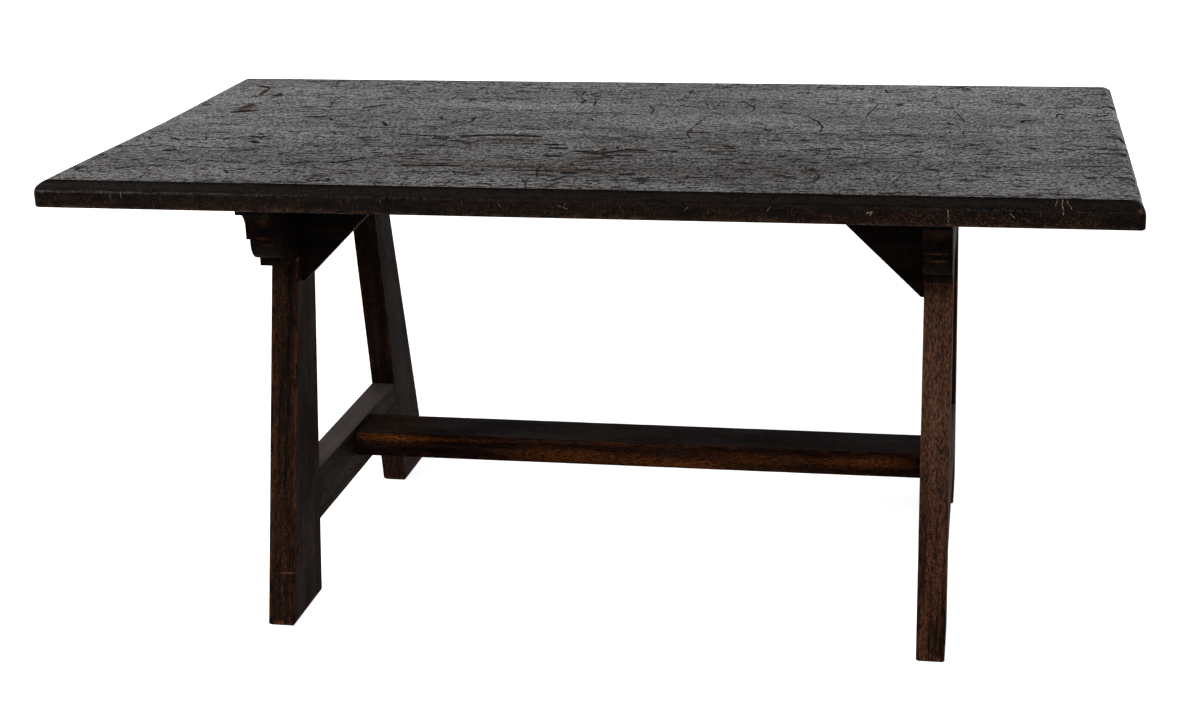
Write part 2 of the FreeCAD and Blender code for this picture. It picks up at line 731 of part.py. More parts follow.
def dowels(name, side):
    """Blind dowels between the brackets and their trestle."""
    places = [(f"{end} * {BRACKET_MIDDLE}", height)
              for end in (FRONT, REAR) for height in (LOW_DOWEL, HIGH_DOWEL)]
    return pins(f"bracket_dowels_{name}", f"{inner_face(side)} + {side} * Size.dowel_in_trestle",
                side == LEFT, places, DOWEL_RADIUS, "Size.dowel_in_trestle + Size.dowel_in_bracket")


def screws(label, places):
    """Cheese-head wood screws that point up into the top, their heads in deep pockets."""
    body = new_body(label)
    tip = f"({UNDER_TOP} + Size.screw_bite)"
    seat = f"({UNDER_TOP} - Size.screw_grip)"
    for x, y in places:
        sketch = new_sketch(body, "XZ_Plane", y)
        outline(sketch, [
            (x, f"{seat} - Size.screw_head_height"),
            (f"{x} + Size.screw_head_diameter / 2", f"{seat} - Size.screw_head_height"),
            (f"{x} + Size.screw_head_diameter / 2", seat),
            (f"{x} + Size.screw_diameter / 2", seat),
            (f"{x} + Size.screw_diameter / 2", tip),
            (x, tip),
        ])
        feature = body.newObject("PartDesign::Revolution", "Revolution")
        feature.Profile = sketch
        feature.ReferenceAxis = (sketch, ["Edge1"])
        feature.Angle = 360
        doc.recompute()
    return body


# -------------------------------------------------------------------------- the whole table

def build_table():
    """Every sub-part of the table."""
    parts = [top_board(name, side) for name, side in ENDS.items()]
    for name, side in SIDES.items():
        parts.append(bearer(name, side))
        parts.append(rail(name, side))
        for end_name, end in ENDS.items():
            parts.append(leg(f"{name}_{end_name}", side, end))
            parts.append(bracket(f"{name}_{end_name}", side, end))
        parts.append(wedges(name, side))
        parts.append(dowels(name, side))
        parts.append(pegs(f"bearer_pegs_{name}", side,
                          head_peg_places(FRONT) + head_peg_places(REAR)))
        parts.append(pegs(f"rail_pegs_{name}", side,
                          rail_peg_places(FRONT) + rail_peg_places(REAR)))
        in_bearer, in_bracket = zip(screw_places(side, FRONT), screw_places(side, REAR))
        parts.append(screws(f"bearer_screws_{name}", in_bearer))
        parts.append(screws(f"bracket_screws_{name}", in_bracket))
    parts.append(stretcher())
    return parts


def export(parts):
    """Write each sub-part, once the whole document is sound."""
    doc.recompute()
    for item in doc.Objects:
        if {"Invalid", "Error"} & set(item.State):
            raise RuntimeError(f"{item.Name} of {item.Label} did not rebuild")
    for part in parts:
        if part.Shape.isNull() or not part.Shape.isValid():
            raise RuntimeError(f"{part.Label} has no valid shape")
    os.makedirs("parts", exist_ok=True)
    for part in parts:
        part.Shape.exportStep(f"parts/{part.Label}.step")
        print(f"{part.Label}: {len(part.Shape.Solids)} solids,"
              f" {part.Shape.Volume / 1000:.1f} cubic cm")


export(build_table())
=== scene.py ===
import math

import bmesh
import bpy
from mathutils import Matrix, Vector, noise


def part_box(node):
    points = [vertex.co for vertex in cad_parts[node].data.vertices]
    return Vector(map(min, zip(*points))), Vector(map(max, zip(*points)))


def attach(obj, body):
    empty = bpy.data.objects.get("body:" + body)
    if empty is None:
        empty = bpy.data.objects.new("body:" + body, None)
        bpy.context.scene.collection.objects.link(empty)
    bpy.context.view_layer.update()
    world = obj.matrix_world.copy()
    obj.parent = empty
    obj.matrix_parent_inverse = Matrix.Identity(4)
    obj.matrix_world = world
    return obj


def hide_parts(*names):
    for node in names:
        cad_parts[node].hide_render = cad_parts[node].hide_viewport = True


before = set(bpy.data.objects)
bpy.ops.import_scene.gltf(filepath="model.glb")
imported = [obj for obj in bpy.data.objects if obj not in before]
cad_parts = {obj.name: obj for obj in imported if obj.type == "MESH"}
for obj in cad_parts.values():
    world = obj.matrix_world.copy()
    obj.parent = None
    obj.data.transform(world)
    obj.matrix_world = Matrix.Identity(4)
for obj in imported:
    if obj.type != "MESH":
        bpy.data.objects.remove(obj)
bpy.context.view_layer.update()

# The looks of an old trestle dining table: dark stained hardwood under worn wax. The two
# boards of the top are built anew with rounded, battered edges. The trestles and the stretcher
# are worn copies of their CAD nodes, with softened arrises and an uneven surface. Pegs, wedges,
# dowels and screws keep the CAD's meshes. Lengths are metres, unless a table says millimetres.

MM = 0.001
SIDES = ("left", "right")
ENDS = ("front", "rear")


# ----------------------------------------------------------------------------- node trees

# How fine the noise is that moves a place about.
WARP_DETAIL = 2.0


class Tree:
    """Short ways to add and join shader nodes."""

    def __init__(self, tree):
        self.tree = tree

    def add(self, kind, **settings):
        node = self.tree.nodes.new(kind)
        for name, value in settings.items():
            setattr(node, name, value)
        return node

    def feed(self, socket, value):
        """Join a socket to another node's output, or give it a plain value."""
        if isinstance(value, bpy.types.NodeSocket):
            self.tree.links.new(value, socket)
        else:
            socket.default_value = value

    def math(self, operation, first, second=0.5, clamp=False):
        node = self.add("ShaderNodeMath", operation=operation, use_clamp=clamp)
        self.feed(node.inputs[0], first)
        self.feed(node.inputs[1], second)
        return node.outputs[0]

    def scaled_sum(self, first, factor, addend):
        node = self.add("ShaderNodeMath", operation="MULTIPLY_ADD")
        for index, item in enumerate((first, factor, addend)):
            self.feed(node.inputs[index], item)
        return node.outputs[0]

    def vector(self, operation, first, second=(0, 0, 0)):
        node = self.add("ShaderNodeVectorMath", operation=operation)
        self.feed(node.inputs[0], first)
        self.feed(node.inputs[1], second)
        return node.outputs["Value" if operation in ("DOT_PRODUCT", "LENGTH") else "Vector"]

    def ramp(self, value, low, high, to_low=0.0, to_high=1.0):
        """A smooth step from to_low, where value is low, to to_high, where it is high."""
        node = self.add("ShaderNodeMapRange", interpolation_type="SMOOTHSTEP")
        for index, item in enumerate((value, low, high, to_low, to_high)):
            self.feed(node.inputs[index], item)
        return node.outputs["Result"]

    def noise_node(self, place, scale, detail):
        node = self.add("ShaderNodeTexNoise")
        self.feed(node.inputs["Vector"], place)
        self.feed(node.inputs["Scale"], scale)
        self.feed(node.inputs["Detail"], detail)
        return node

    def noise(self, place, stretch, detail, roughness, offset=(0, 0, 0)):
        """Noise around 0.5 at the place, which is first scaled along each axis and moved."""
        node = self.noise_node(self.stretched(place, stretch, offset), 1.0, detail)
        self.feed(node.inputs["Roughness"], roughness)
        return node.outputs["Fac"]

    def warped(self, place, scale, amount):
        """The place moved about by a smooth noise, each way by up to half the amount."""
        node = self.noise_node(place, scale, WARP_DETAIL)
        centred = self.vector("SUBTRACT", node.outputs["Color"], (0.5, 0.5, 0.5))
        moved = self.vector("MULTIPLY", centred, (amount, amount, amount))
        return self.vector("ADD", place, moved)

    def oval(self, place, middle, size, edge):
        """1 inside an oval of the plan and 0 outside it, over a soft edge."""
        spot = self.add("ShaderNodeMapping", vector_type="TEXTURE")
        self.feed(spot.inputs["Vector"], self.vector("MULTIPLY", place, (1, 1, 0)))
        spot.inputs["Location"].default_value = (*middle, 0)
        spot.inputs["Scale"].default_value = (*size, 1)
        away = self.vector("LENGTH", spot.outputs["Vector"])
        return self.ramp(away, 1 - edge, 1 + edge, 1.0, 0.0)

    def times(self, first, second, *more):
        """The product of two or more values."""
        for factor in (second, *more):
            first = self.math("MULTIPLY", first, factor)
        return first

    def contour(self, waves, gap):
        """1 on the lines where a noise is 0.5, fading to 0 a gap away from it."""
        return self.ramp(self.math("ABSOLUTE", self.math("SUBTRACT", waves, 0.5)), *gap, 1.0, 0.0)

    def apart(self, vector):
        """The outputs X, Y and Z of a vector."""
        node = self.add("ShaderNodeSeparateXYZ")
        self.feed(node.inputs[0], vector)
        return node.outputs

    def mix(self, share, first, second, blend="MIX"):
        node = self.add("ShaderNodeMix", data_type="RGBA", blend_type=blend)
        self.feed(node.inputs["Factor"], share)
        self.feed(node.inputs[6], first)
        self.feed(node.inputs[7], second)
        return node.outputs[2]

    def stretched(self, place, stretch, offset=(0, 0, 0)):
        """The place scaled along each axis, then moved."""
        node = self.add("ShaderNodeMapping")
        self.feed(node.inputs["Vector"], place)
        node.inputs["Scale"].default_value = stretch
        node.inputs["Location"].default_value = offset
        return node.outputs["Vector"]


def colour(red, green, blue):
    """An sRGB colour from 0 to 255 as a linear one."""
    def linear(level):
        level /= 255
        return level / 12.92 if level <= 0.04045 else ((level + 0.055) / 1.055) ** 2.4
    return (linear(red), linear(green), linear(blue), 1.0)


# ------------------------------------------------------------------------- marks on the top

# The trace that earlier marks leave in a place, far too small to move a mark.
IN_TURN = 1e-9


def mark_group(name, sockets, draw):
    """Node group that draws one mark over the earlier ones.

    A trace of the earlier marks goes into the place, so that a renderer has to work through
    the marks in turn and never holds all of them at once.
    """
    group = bpy.data.node_groups.new(name, "ShaderNodeTree")
    shared = (("Place", "Vector"), ("Earlier", "Float"), ("Strength", "Float"))
    for label, kind in (*shared, *sockets):
        group.interface.new_socket(label, in_out="INPUT", socket_type=f"NodeSocket{kind}")
    group.interface.new_socket("Marks", in_out="OUTPUT", socket_type="NodeSocketFloat")
    tree = Tree(group)
    given = tree.add("NodeGroupInput").outputs
    result = tree.add("NodeGroupOutput").inputs
    trace = tree.times(given["Earlier"], IN_TURN)
    mark = draw(tree, given, tree.vector("ADD", given["Place"], trace))
    mark = tree.times(mark, given["Strength"])
    tree.feed(result["Marks"], tree.math("MAXIMUM", mark, given["Earlier"]))
    return group


def line_mark(tree, given, place):
    """How much a place lies on the straight line from one point to another."""
    run = tree.vector("SUBTRACT", given["To"], given["From"])
    reach = tree.vector("SUBTRACT", place, given["From"])
    share = tree.math("DIVIDE", tree.vector("DOT_PRODUCT", reach, run),
                      tree.vector("DOT_PRODUCT", run, run), clamp=True)
    along = tree.vector("MULTIPLY", run, share)
    away = tree.vector("LENGTH", tree.vector("SUBTRACT", reach, along))
    return tree.ramp(away, tree.times(given["Width"], 0.3), given["Width"], 1.0, 0.0)


def patch_mark(tree, given, place):
    """How much a place lies in a ragged oval."""
    spot = tree.add("ShaderNodeMapping", vector_type="TEXTURE")
    tree.feed(spot.inputs["Vector"], place)
    for name in ("Location", "Rotation", "Scale"):
        tree.feed(spot.inputs[name], given[name])
    away = tree.vector("LENGTH", spot.outputs["Vector"])
    border = tree.scaled_sum(given["Ragged"], 3.4, -0.8)
    return tree.ramp(tree.math("SUBTRACT", border, away), 0.0, 0.2)


# Marks that years of use have left on the top, as (width in mm, strength, points in mm).
SCRATCHES = [
    (9.5, 1.0, [(-249, -74), (-219, -65), (-175, -58), (-125, -67)]),
    (5.0, 0.9, [(-362, -65), (-317, -71), (-277, -75)]),
    (6.5, 1.0, [(-294, -91), (-271, -89)]),
    (7.0, 1.0, [(-97, -125), (-69, -127)]),
    (7.0, 1.0, [(-82, -152), (-59, -154)]),
    (8.0, 1.0, [(-37, -171), (-22, -173)]),
    (8.5, 1.0, [(0, -188), (18, -174), (36, -158)]),
    (8.0, 1.0, [(45, -153), (70, -157)]),
    (7.0, 1.0, [(96, -157), (121, -161)]),
    (6.0, 0.9, [(-80, -206), (-56, -208)]),
    (6.0, 0.9, [(31, -195), (54, -191)]),
    (2.5, 0.8, [(-37, -272), (4, -265), (43, -258)]),
    (7.5, 1.0, [(-25, -321), (-9, -320)]),
    (3.5, 1.0, [(-35, -368), (-23, -354), (-18, -341)]),
    (6.5, 1.0, [(65, -321), (80, -318)]),
    (1.7, 0.9, [(-58, -250), (-71, -280), (-69, -315), (-60, -345), (-38, -371)]),
    (1.6, 0.9, [(-91, -345), (-77, -368), (-68, -391), (-61, -417)]),
    (6.0, 0.9, [(-285, -287), (-229, -285), (-201, -282)]),
    (1.4, 0.6, [(-266, -196), (-266, -122)]),
    (1.8, 0.7, [(-208, -326), (-203, -316), (-191, -336)]),
    (1.7, 0.9, [(123, -43), (119, -12), (122, 16), (128, 75), (140, 124)]),
    (2.2, 0.9, [(123, -43), (130, -63)]),
    (2.5, 0.8, [(136, 143), (162, 123)]),
    (3.5, 0.7, [(120, -20), (156, -15)]),
    (2.0, 1.0, [(189, 225), (202, 203), (207, 181), (206, 160)]),
    (1.8, 0.7, [(226, 216), (240, 194)]),
    (2.4, 1.0, [(-68, 96), (-61, 109), (-55, 116)]),
    (2.4, 1.0, [(-132, 275), (-124, 287), (-124, 316)]),
    (2.0, 0.7, [(-30, 96), (-28, 113), (-12, 119)]),
    (1.7, 0.8, [(17, 203), (30, 164), (33, 126)]),
    (1.4, 0.7, [(193, -308), (208, -249), (223, -200), (243, -174)]),
    (1.4, 0.7, [(173, -260), (180, -293), (189, -308)]),
    (2.4, 0.8, [(255, 156), (282, 145), (306, 121), (327, 83), (340, 38), (339, 4), (327, -16)]),
    (2.4, 0.9, [(332, 100), (347, 115), (372, 129)]),
    (1.7, 0.9, [(406, 125), (414, 183), (421, 238)]),
    (1.7, 0.9, [(556, 181), (565, 139), (573, 95)]),
    (1.7, 0.8, [(574, 19), (573, -9)]),
    (1.7, 0.8, [(545, -9), (551, 12)]),
    (3.5, 0.9, [(750, 288), (763, 295)]),
    (1.8, 0.9, [(356, -285), (363, -303), (364, -332), (355, -351)]),
    (1.6, 0.8, [(378, -203), (401, -176), (423, -153), (444, -120), (462, -91), (463, -69)]),
    (1.6, 0.8, [(720, -70), (734, -58), (751, -35)]),
    (1.6, 0.8, [(476, -345), (483, -310), (491, -275)]),
    (1.4, 0.6, [(346, -179), (350, -135)]),
    (4.5, 0.9, [(796, 118), (835, 116)]), (4.5, 0.9, [(806, -13), (835, -25)]),
    (3.5, 0.7, [(725, -220), (835, -218)]), (4.0, 0.9, [(798, -287), (835, -288)]),
    (4.0, 0.8, [(808, 235), (835, 235)]), (4.0, 0.8, [(812, -135), (835, -135)]),
    (1.6, 0.7, [(613, -126), (620, -113), (632, -133)]),
    (1.5, 0.7, [(542, -345), (546, -382)]),
    (2.5, 0.7, [(565, -276), (599, -294)]),
    (5.0, 1.0, [(-496, 151), (-478, 161), (-465, 177)]),
    (2.0, 0.7, [(-511, 145), (-505, 164)]),
    (7.0, 0.9, [(-571, 65), (-543, 65)]),
    (2.5, 0.6, [(-543, 69), (-515, 75), (-497, 89)]),
    (4.0, 1.0, [(-423, 30), (-406, 0)]),
    (2.2, 0.9, [(-486, -45), (-469, -76)]),
    (7.0, 1.0, [(-612, -97), (-596, -104), (-585, -95)]),
    (8.0, 1.0, [(-596, -134), (-584, -145)]),
    (4.0, 0.9, [(-745, -116), (-724, -131)]),
    (2.5, 0.9, [(-793, -103), (-779, -124)]),
    (6.0, 1.0, [(-407, -277), (-390, -268), (-376, -253)]),
    (3.5, 0.9, [(-561, -339), (-549, -357)]),
    (4.5, 0.9, [(-543, -334), (-532, -333)]),
    (4.5, 0.9, [(-536, -412), (-520, -414)]),
    (1.6, 0.8, [(-558, 143), (-573, 215), (-569, 250)]),
    (1.3, 0.7, [(-630, -301), (-639, -258)]),
    (3.0, 1.0, [(-771, 344), (-748, 335), (-736, 314), (-735, 277), (-731, 258)]),
    (3.0, 0.9, [(-740, 238), (-717, 254)]),
    (8.0, 1.0, [(-720, 96), (-708, 101), (-686, 111)]),
    (1.2, 0.8, [(-835, -13), (835, -13)]),
]

# Bruises and bare patches, as (x, y, half length, half width in mm, turn in degrees, strength).
PATCHES = [
    (-752, 332, 24, 8, -35, 0.9), (-734, 285, 34, 6, -80, 0.9), (-729, 246, 16, 6, 20, 0.8),
    (-713, 148, 38, 12, 84, 1.0), (-704, 116, 20, 12, 10, 1.0), (-480, 162, 24, 6, 38, 0.9),
    (-190, -62, 72, 5, 3, 1.0),
    (-165, -93, 55, 12, 0, 0.35), (-120, -282, 80, 9, 0, 0.35), (-10, -300, 60, 12, 0, 0.5),
    (5, -216, 28, 12, 10, 0.9), (-8, -170, 40, 9, 0, 0.5), (60, -170, 40, 9, 0, 0.5),
    (183, -107, 24, 6, 0, 0.8), (200, -120, 24, 8, -50, 0.8), (138, -18, 20, 6, 0, 0.8),
    (349, -277, 15, 9, 0, 1.0), (-229, -272, 8, 8, 0, 0.8), (78, 211, 3, 5, 0, 0.9),
    (531, -184, 3, 5, 0, 1.0), (190, -155, 45, 8, 10, 0.6), (-134, 86, 3, 4, 0, 0.8),
]

# Light scratches and worn lines on the front face, as (width in mm, points (x, z) in mm).
FACE_MARKS = [
    (1.3, [(719, 757), (720, 741)]), (1.1, [(726, 756), (731, 749)]),
    (1.2, [(712, 757), (710, 752)]), (1.2, [(559, 746), (560, 723)]),
    (1.8, [(445, 738), (452, 740)]), (1.3, [(449, 735), (452, 739)]),
    (0.6, [(-10, 741), (6, 735)]), (0.6, [(-98, 741), (-92, 734)]),
    (0.8, [(646, 742), (652, 736)]), (0.6, [(300, 738), (306, 744)]),
    (0.6, [(185, 742), (178, 735)]), (0.8, [(-690, 748), (-688, 738)]),
]

LINE_SOCKETS = (("From", "Vector"), ("To", "Vector"), ("Width", "Float"))
PATCH_SOCKETS = (("Ragged", "Float"), ("Location", "Vector"), ("Rotation", "Vector"),
                 ("Scale", "Vector"))


def place_mark(tree, group, settings):
    """Add a mark to a tree and give back the marks drawn so far."""
    mark = tree.add("ShaderNodeGroup", node_tree=group)
    for socket, value in settings.items():
        tree.feed(mark.inputs[socket], value)
    return mark.outputs["Marks"]


def lines_drawn(tree, place, lines, upright=False):
    """How much a place lies on any of the lines. Upright lines have points (x, z)."""
    group = mark_group("line_mark", LINE_SOCKETS, line_mark)
    drawn = 0.0
    for width, strength, points in lines:
        spots = [(x * MM, 0, z * MM) if upright else (x * MM, z * MM, 0) for x, z in points]
        for start, end in zip(spots, spots[1:]):
            drawn = place_mark(tree, group, {
                "Place": place, "Earlier": drawn, "Strength": strength, "Width": width * MM,
                "From": start, "To": end})
    return drawn


def patches_drawn(tree, place):
    """How much a place lies in any of the patches."""
    group = mark_group("patch_mark", PATCH_SOCKETS, patch_mark)
    ragged = tree.noise(place, (75, 200, 1), 4.0, 0.65)
    patched = 0.0
    for x, y, length, width, turn, strength in PATCHES:
        patched = place_mark(tree, group, {
            "Place": place, "Earlier": patched, "Strength": strength, "Ragged": ragged,
            "Location": (x * MM, y * MM, 0), "Rotation": (0, 0, math.radians(turn)),
            "Scale": (length * MM, width * MM, 1)})
    return patched


# ------------------------------------------------------------------------------- materials

def new_material(name):
    material = bpy.data.materials.new(name)
    material.use_nodes = True
    tree = Tree(material.node_tree)
    shader = material.node_tree.nodes["Principled BSDF"]
    return material, tree, shader


# A worn zone of the top near the middle of the front side, where the wax has gone.
ROUGH_MIDDLE = (50 * MM, -210 * MM)
ROUGH_SIZE = (480 * MM, 190 * MM)

# Where the marks of the top end: at its arrises, as |y|, and below its upper face, as z.
MARKED_Y = (415 * MM, 419 * MM)
MARKED_Z = (735 * MM, 745 * MM)

# Where the right end of the top begins to fray, and where it is frayed most, as x.
FRAYED_X = (770 * MM, 830 * MM)

# How much the wax of the top mirrors.
TOP_GLOSS = 0.03

# The order of the axes that brings the grain's axis to the front.
AXES = {"x": (0, 1, 2), "y": (1, 0, 2), "z": (2, 0, 1)}

# The part of a normal along an axis from which a face begins to face it, and from which it
# fully does.
FACING = (0.5, 0.95)
# The tint that paints shade on the faces turned to the middle of the table.
INNER_SHADE_TINT = (0.8, 0.74, 0.7, 1)


def along_grain(tree, axis, slope, offset):
    """The place in the object, and the same place with its first coordinate along the grain."""
    place = tree.add("ShaderNodeTexCoord").outputs["Object"]
    apart = tree.apart(place)
    joined = tree.add("ShaderNodeCombineXYZ")
    for index, source in enumerate(AXES[axis]):
        tree.feed(joined.inputs[index], apart[source])
    if slope:
        lean = tree.times(apart["Z"], slope)
        tree.feed(joined.inputs[2], tree.math("ADD", apart["Y"], lean))
    moved = tree.vector("ADD", joined.outputs[0], offset)
    return place, moved


def attribute(tree, name):
    return tree.add("ShaderNodeAttribute", attribute_name=name).outputs["Fac"]


def bumped(tree, shader, height, depth):
    """Give the shader a relief of that depth in metres."""
    bump = tree.add("ShaderNodeBump")
    bump.inputs["Strength"].default_value = 1.0
    bump.inputs["Distance"].default_value = depth
    tree.feed(bump.inputs["Height"], height)
    tree.feed(shader.inputs["Normal"], bump.outputs["Normal"])


def base_wood(name, axis, offset, tone=1.0, warmth=1.0, shade_and_sheen_share=0.7, shade_and_sheen_colour=(8, 6, 5),
              slope=0.0, bare=(112, 64, 34), shaded_side=0.0, gloss=0.015, rubs_and_highlights=(),
              rub_and_highlight_shade=(108, 58, 24)):
    """Stained wood of the trestles: fibres, ray flecks, pores, patchy stain and worn arrises.

    Tone is how light it is and warmth how brown. A share of its upper faces takes a second
    shade: a painted shade for the shadow under the top, and on the rails a painted grey sheen.
    Bare is the colour of its worn arrises; the brackets' pale one paints a highlight along
    their sloping arrises. The side, -1 or 1 along x, whose face is darker is given, and that
    face gets a painted shade. Lighter places on a front face are given as (x, z, half length,
    half height in mm, strength): the stain rubbed away on the stretcher and at the left front
    leg's foot, painted highlights on the steps of the bearers' ends, painted light on the rear
    left leg's foot and a painted sheen on the upper right front leg. The relief is in
    millimetres.
    """
    material, tree, shader = new_material(name)
    place, grain = along_grain(tree, axis, slope, offset)
    bent = tree.warped(grain, 12, 5 * MM)
    bands = tree.noise(bent, (2.5, 60, 60), 3.0, 0.6)
    fibres = tree.noise(bent, (26, 330, 330), 4.0, 0.66)
    rays = tree.noise(grain, (430, 150, 150), 2.0, 0.6, (5, 1, 8))
    flakes = tree.noise(grain, (150, 480, 480), 3.0, 0.65)
    blotch = tree.noise(grain, (6, 16, 16), 4.0, 0.6, (8, 3, 1))
    pores = tree.noise(bent, (70, 800, 800), 2.0, 0.5, (3, 5, 7))
    pore = tree.ramp(pores, 0.54, 0.66)
    figure = tree.scaled_sum(bands, 0.45, tree.times(fibres, 0.55))

    def toned(red, green, blue):
        return colour(red * tone, green * tone / warmth, blue * tone / warmth)

    shade = tree.mix(tree.ramp(figure, 0.38, 0.60), toned(9, 6, 4.5), toned(41, 25, 16.5))
    ray_share = tree.ramp(bands, 0.40, 0.60, 0.2, 0.5)
    fleck = tree.scaled_sum(rays, ray_share, tree.times(flakes, 0.6))
    fleck = tree.scaled_sum(blotch, 0.2, fleck)
    shade = tree.mix(tree.ramp(fleck, 0.56, 0.80, 0.0, 0.8), shade, toned(76, 49, 34))
    if rubs_and_highlights:
        upright = tree.add("ShaderNodeMapping")
        tree.feed(upright.inputs["Vector"], place)
        upright.inputs["Rotation"].default_value = (math.radians(-90), 0, 0)
        freckled = tree.ramp(flakes, 0.44, 0.57, 0.2, 1.0)
        # Lighter places: rubbed stain, painted highlights and painted light, as the lists give
        # them.
        for x, z, length, height, strength in rubs_and_highlights:
            size = (length * MM, height * MM)
            rub_and_highlight = tree.oval(upright.outputs["Vector"], (x * MM, z * MM), size, 0.8)
            shade = tree.mix(tree.times(rub_and_highlight, strength, freckled), shade, colour(*rub_and_highlight_shade))
    ragged = tree.noise(grain, (40, 120, 120), 4.0, 0.65, (9, 2, 4))
    worn = tree.times(attribute(tree, "wear"), tree.ramp(ragged, 0.44, 0.60))
    shade = tree.mix(worn, shade, colour(*bare))
    shade = tree.mix(tree.times(pore, 0.8), shade, colour(4, 2.5, 2))
    facing = tree.apart(tree.add("ShaderNodeNewGeometry").outputs["Normal"])
    # A painted shade on the faces turned to the middle of the table.
    if shaded_side:
        inner_shade = tree.ramp(tree.times(facing["X"], shaded_side), *FACING, 0.0, 0.8)
        shade = tree.mix(inner_shade, shade, INNER_SHADE_TINT, "MULTIPLY")
    # Upward faces take a second shade: a painted shade for the shadow under the top, and on the
    # rails a painted grey sheen.
    shade = tree.mix(tree.ramp(facing["Z"], *FACING, 0.0, shade_and_sheen_share), shade, colour(*shade_and_sheen_colour))
    tree.feed(shader.inputs["Base Color"], shade)
    rough = tree.ramp(blotch, 0.3, 0.7, 0.72, 0.55)
    tree.feed(shader.inputs["Roughness"], tree.scaled_sum(pore, 0.2, rough))
    shader.inputs["Specular IOR Level"].default_value = gloss
    height = tree.scaled_sum(fibres, 1.0, tree.times(flakes, 0.25))
    height = tree.scaled_sum(pore, -0.2, height)
    bumped(tree, shader, height, MM)
    return material


def top_wood(name, offset, figure):
    """Waxed and battered wood of the top. Figure is how strong the grain stands out.

    The relief is in millimetres.
    """
    material, tree, shader = new_material(name)
    place, grain = along_grain(tree, "x", 0.0, offset)
    bent = tree.warped(tree.warped(grain, 5, 14 * MM), 30, 2.0 * MM)
    drift = tree.noise(grain, (2.6, 7.0, 7.0), 3.0, 0.55)
    bands = tree.noise(bent, (1.6, 22, 22), 3.0, 0.6, (2, 9, 3))
    streaks = tree.noise(bent, (6, 90, 90), 4.0, 0.62)
    waves = tree.noise(bent, (4.5, 30, 30), 2.0, 0.55, (3, 7, 5))
    dashes = tree.noise(bent, (38, 135, 135), 4.0, 0.65, (7, 1, 2))
    specks = tree.noise(grain, (190, 120, 120), 3.0, 0.65, (1, 4, 6))
    rough_zone = tree.times(tree.oval(place, ROUGH_MIDDLE, ROUGH_SIZE, 0.6),
                            tree.ramp(drift, 0.3, 0.6, 0.4, 1.0))
    busy = tree.math("ADD", tree.ramp(bands, 0.40, 0.58, 0.3 * figure, figure),
                     tree.times(rough_zone, 0.4), clamp=True)
    apart = tree.apart(place)
    groove = tree.times(tree.contour(waves, (0.005, 0.04)), tree.ramp(dashes, 0.46, 0.54), busy)
    pits = tree.times(tree.ramp(dashes, 0.585, 0.61), busy)
    pricks = tree.times(tree.ramp(specks, 0.60, 0.65), busy)
    frayed = tree.times(tree.ramp(streaks, 0.38, 0.44, 1.0, 0.0), tree.ramp(apart["X"], *FRAYED_X))
    open_grain = tree.math("MAXIMUM", tree.times(groove, 0.7), pits)
    open_grain = tree.math("MAXIMUM", tree.times(pricks, 0.9), open_grain)
    open_grain = tree.math("MAXIMUM", frayed, open_grain)
    moulded = attribute(tree, "moulded")
    flat_place = tree.vector("MULTIPLY", tree.warped(place, 70, 6 * MM), (1, 1, 0))
    flat = tree.ramp(tree.math("ABSOLUTE", apart["Y"]), *MARKED_Y, 1.0, 0.0)
    flat = tree.times(flat, tree.ramp(apart["Z"], *MARKED_Z))
    hair = tree.times(hairlines(tree, place), 0.85)
    scratched = tree.math("MAXIMUM", lines_drawn(tree, flat_place, SCRATCHES), hair)
    scratched = tree.times(scratched, flat)
    patched = tree.times(patches_drawn(tree, flat_place), flat)

    shade = tree.mix(tree.ramp(bands, 0.35, 0.65), colour(15, 12, 11), colour(26, 21, 18))
    shade = tree.mix(tree.ramp(streaks, 0.34, 0.50, 0.6, 0.0), shade, colour(42, 36, 32))
    shade = tree.mix(tree.times(rough_zone, 0.5), shade, colour(20, 13, 8))
    shade = tree.mix(tree.times(open_grain, 0.9), shade, colour(7, 4, 2))
    # The moulded edges, the ends and the underside take a near-black painted shade, with worn
    # flecks and scratches.
    shade = tree.mix(moulded, shade, moulded_painted_shade_and_wear(tree, place, dashes))
    ragged = tree.noise(grain, (60, 130, 130), 4.0, 0.65, (1, 6, 3))
    bare = tree.times(attribute(tree, "wear"), tree.ramp(ragged, 0.44, 0.60))
    shade = tree.mix(bare, shade, colour(96, 66, 46))
    gouge = tree.mix(tree.ramp(dashes, 0.42, 0.56), colour(70, 52, 37), colour(16, 10, 6))
    shade = tree.mix(tree.times(patched, 0.9), shade, gouge)
    shade = tree.mix(scratched, shade, colour(9, 5, 3))
    tree.feed(shader.inputs["Base Color"], shade)

    rough = tree.ramp(drift, 0.35, 0.65, 0.27, 0.35)
    rough = tree.scaled_sum(tree.ramp(specks, 0.42, 0.58), 0.2, rough)
    rough = tree.scaled_sum(tree.math("MAXIMUM", patched, scratched), 0.75, rough)
    rough = tree.scaled_sum(open_grain, 0.6, rough)
    rough = tree.scaled_sum(rough_zone, 0.08, rough)
    smoother = tree.ramp(apart["X"], -0.80, -0.45, -0.17, -0.03)
    rough = tree.scaled_sum(moulded, smoother, rough)
    tree.feed(shader.inputs["Roughness"], rough)
    shader.inputs["Specular IOR Level"].default_value = TOP_GLOSS

    height = tree.scaled_sum(specks, 2.7 * figure, tree.times(dashes, 1.45 * figure))
    height = tree.scaled_sum(streaks, 0.5 * figure, height)
    height = tree.scaled_sum(open_grain, -1.8 * figure, height)
    height = tree.scaled_sum(scratched, -2.2, height)
    height = tree.scaled_sum(patched, -1.0, height)
    height = tree.times(height, tree.ramp(moulded, 0.0, 1.0, 1.0, 0.35))
    bumped(tree, shader, height, MM)
    return material


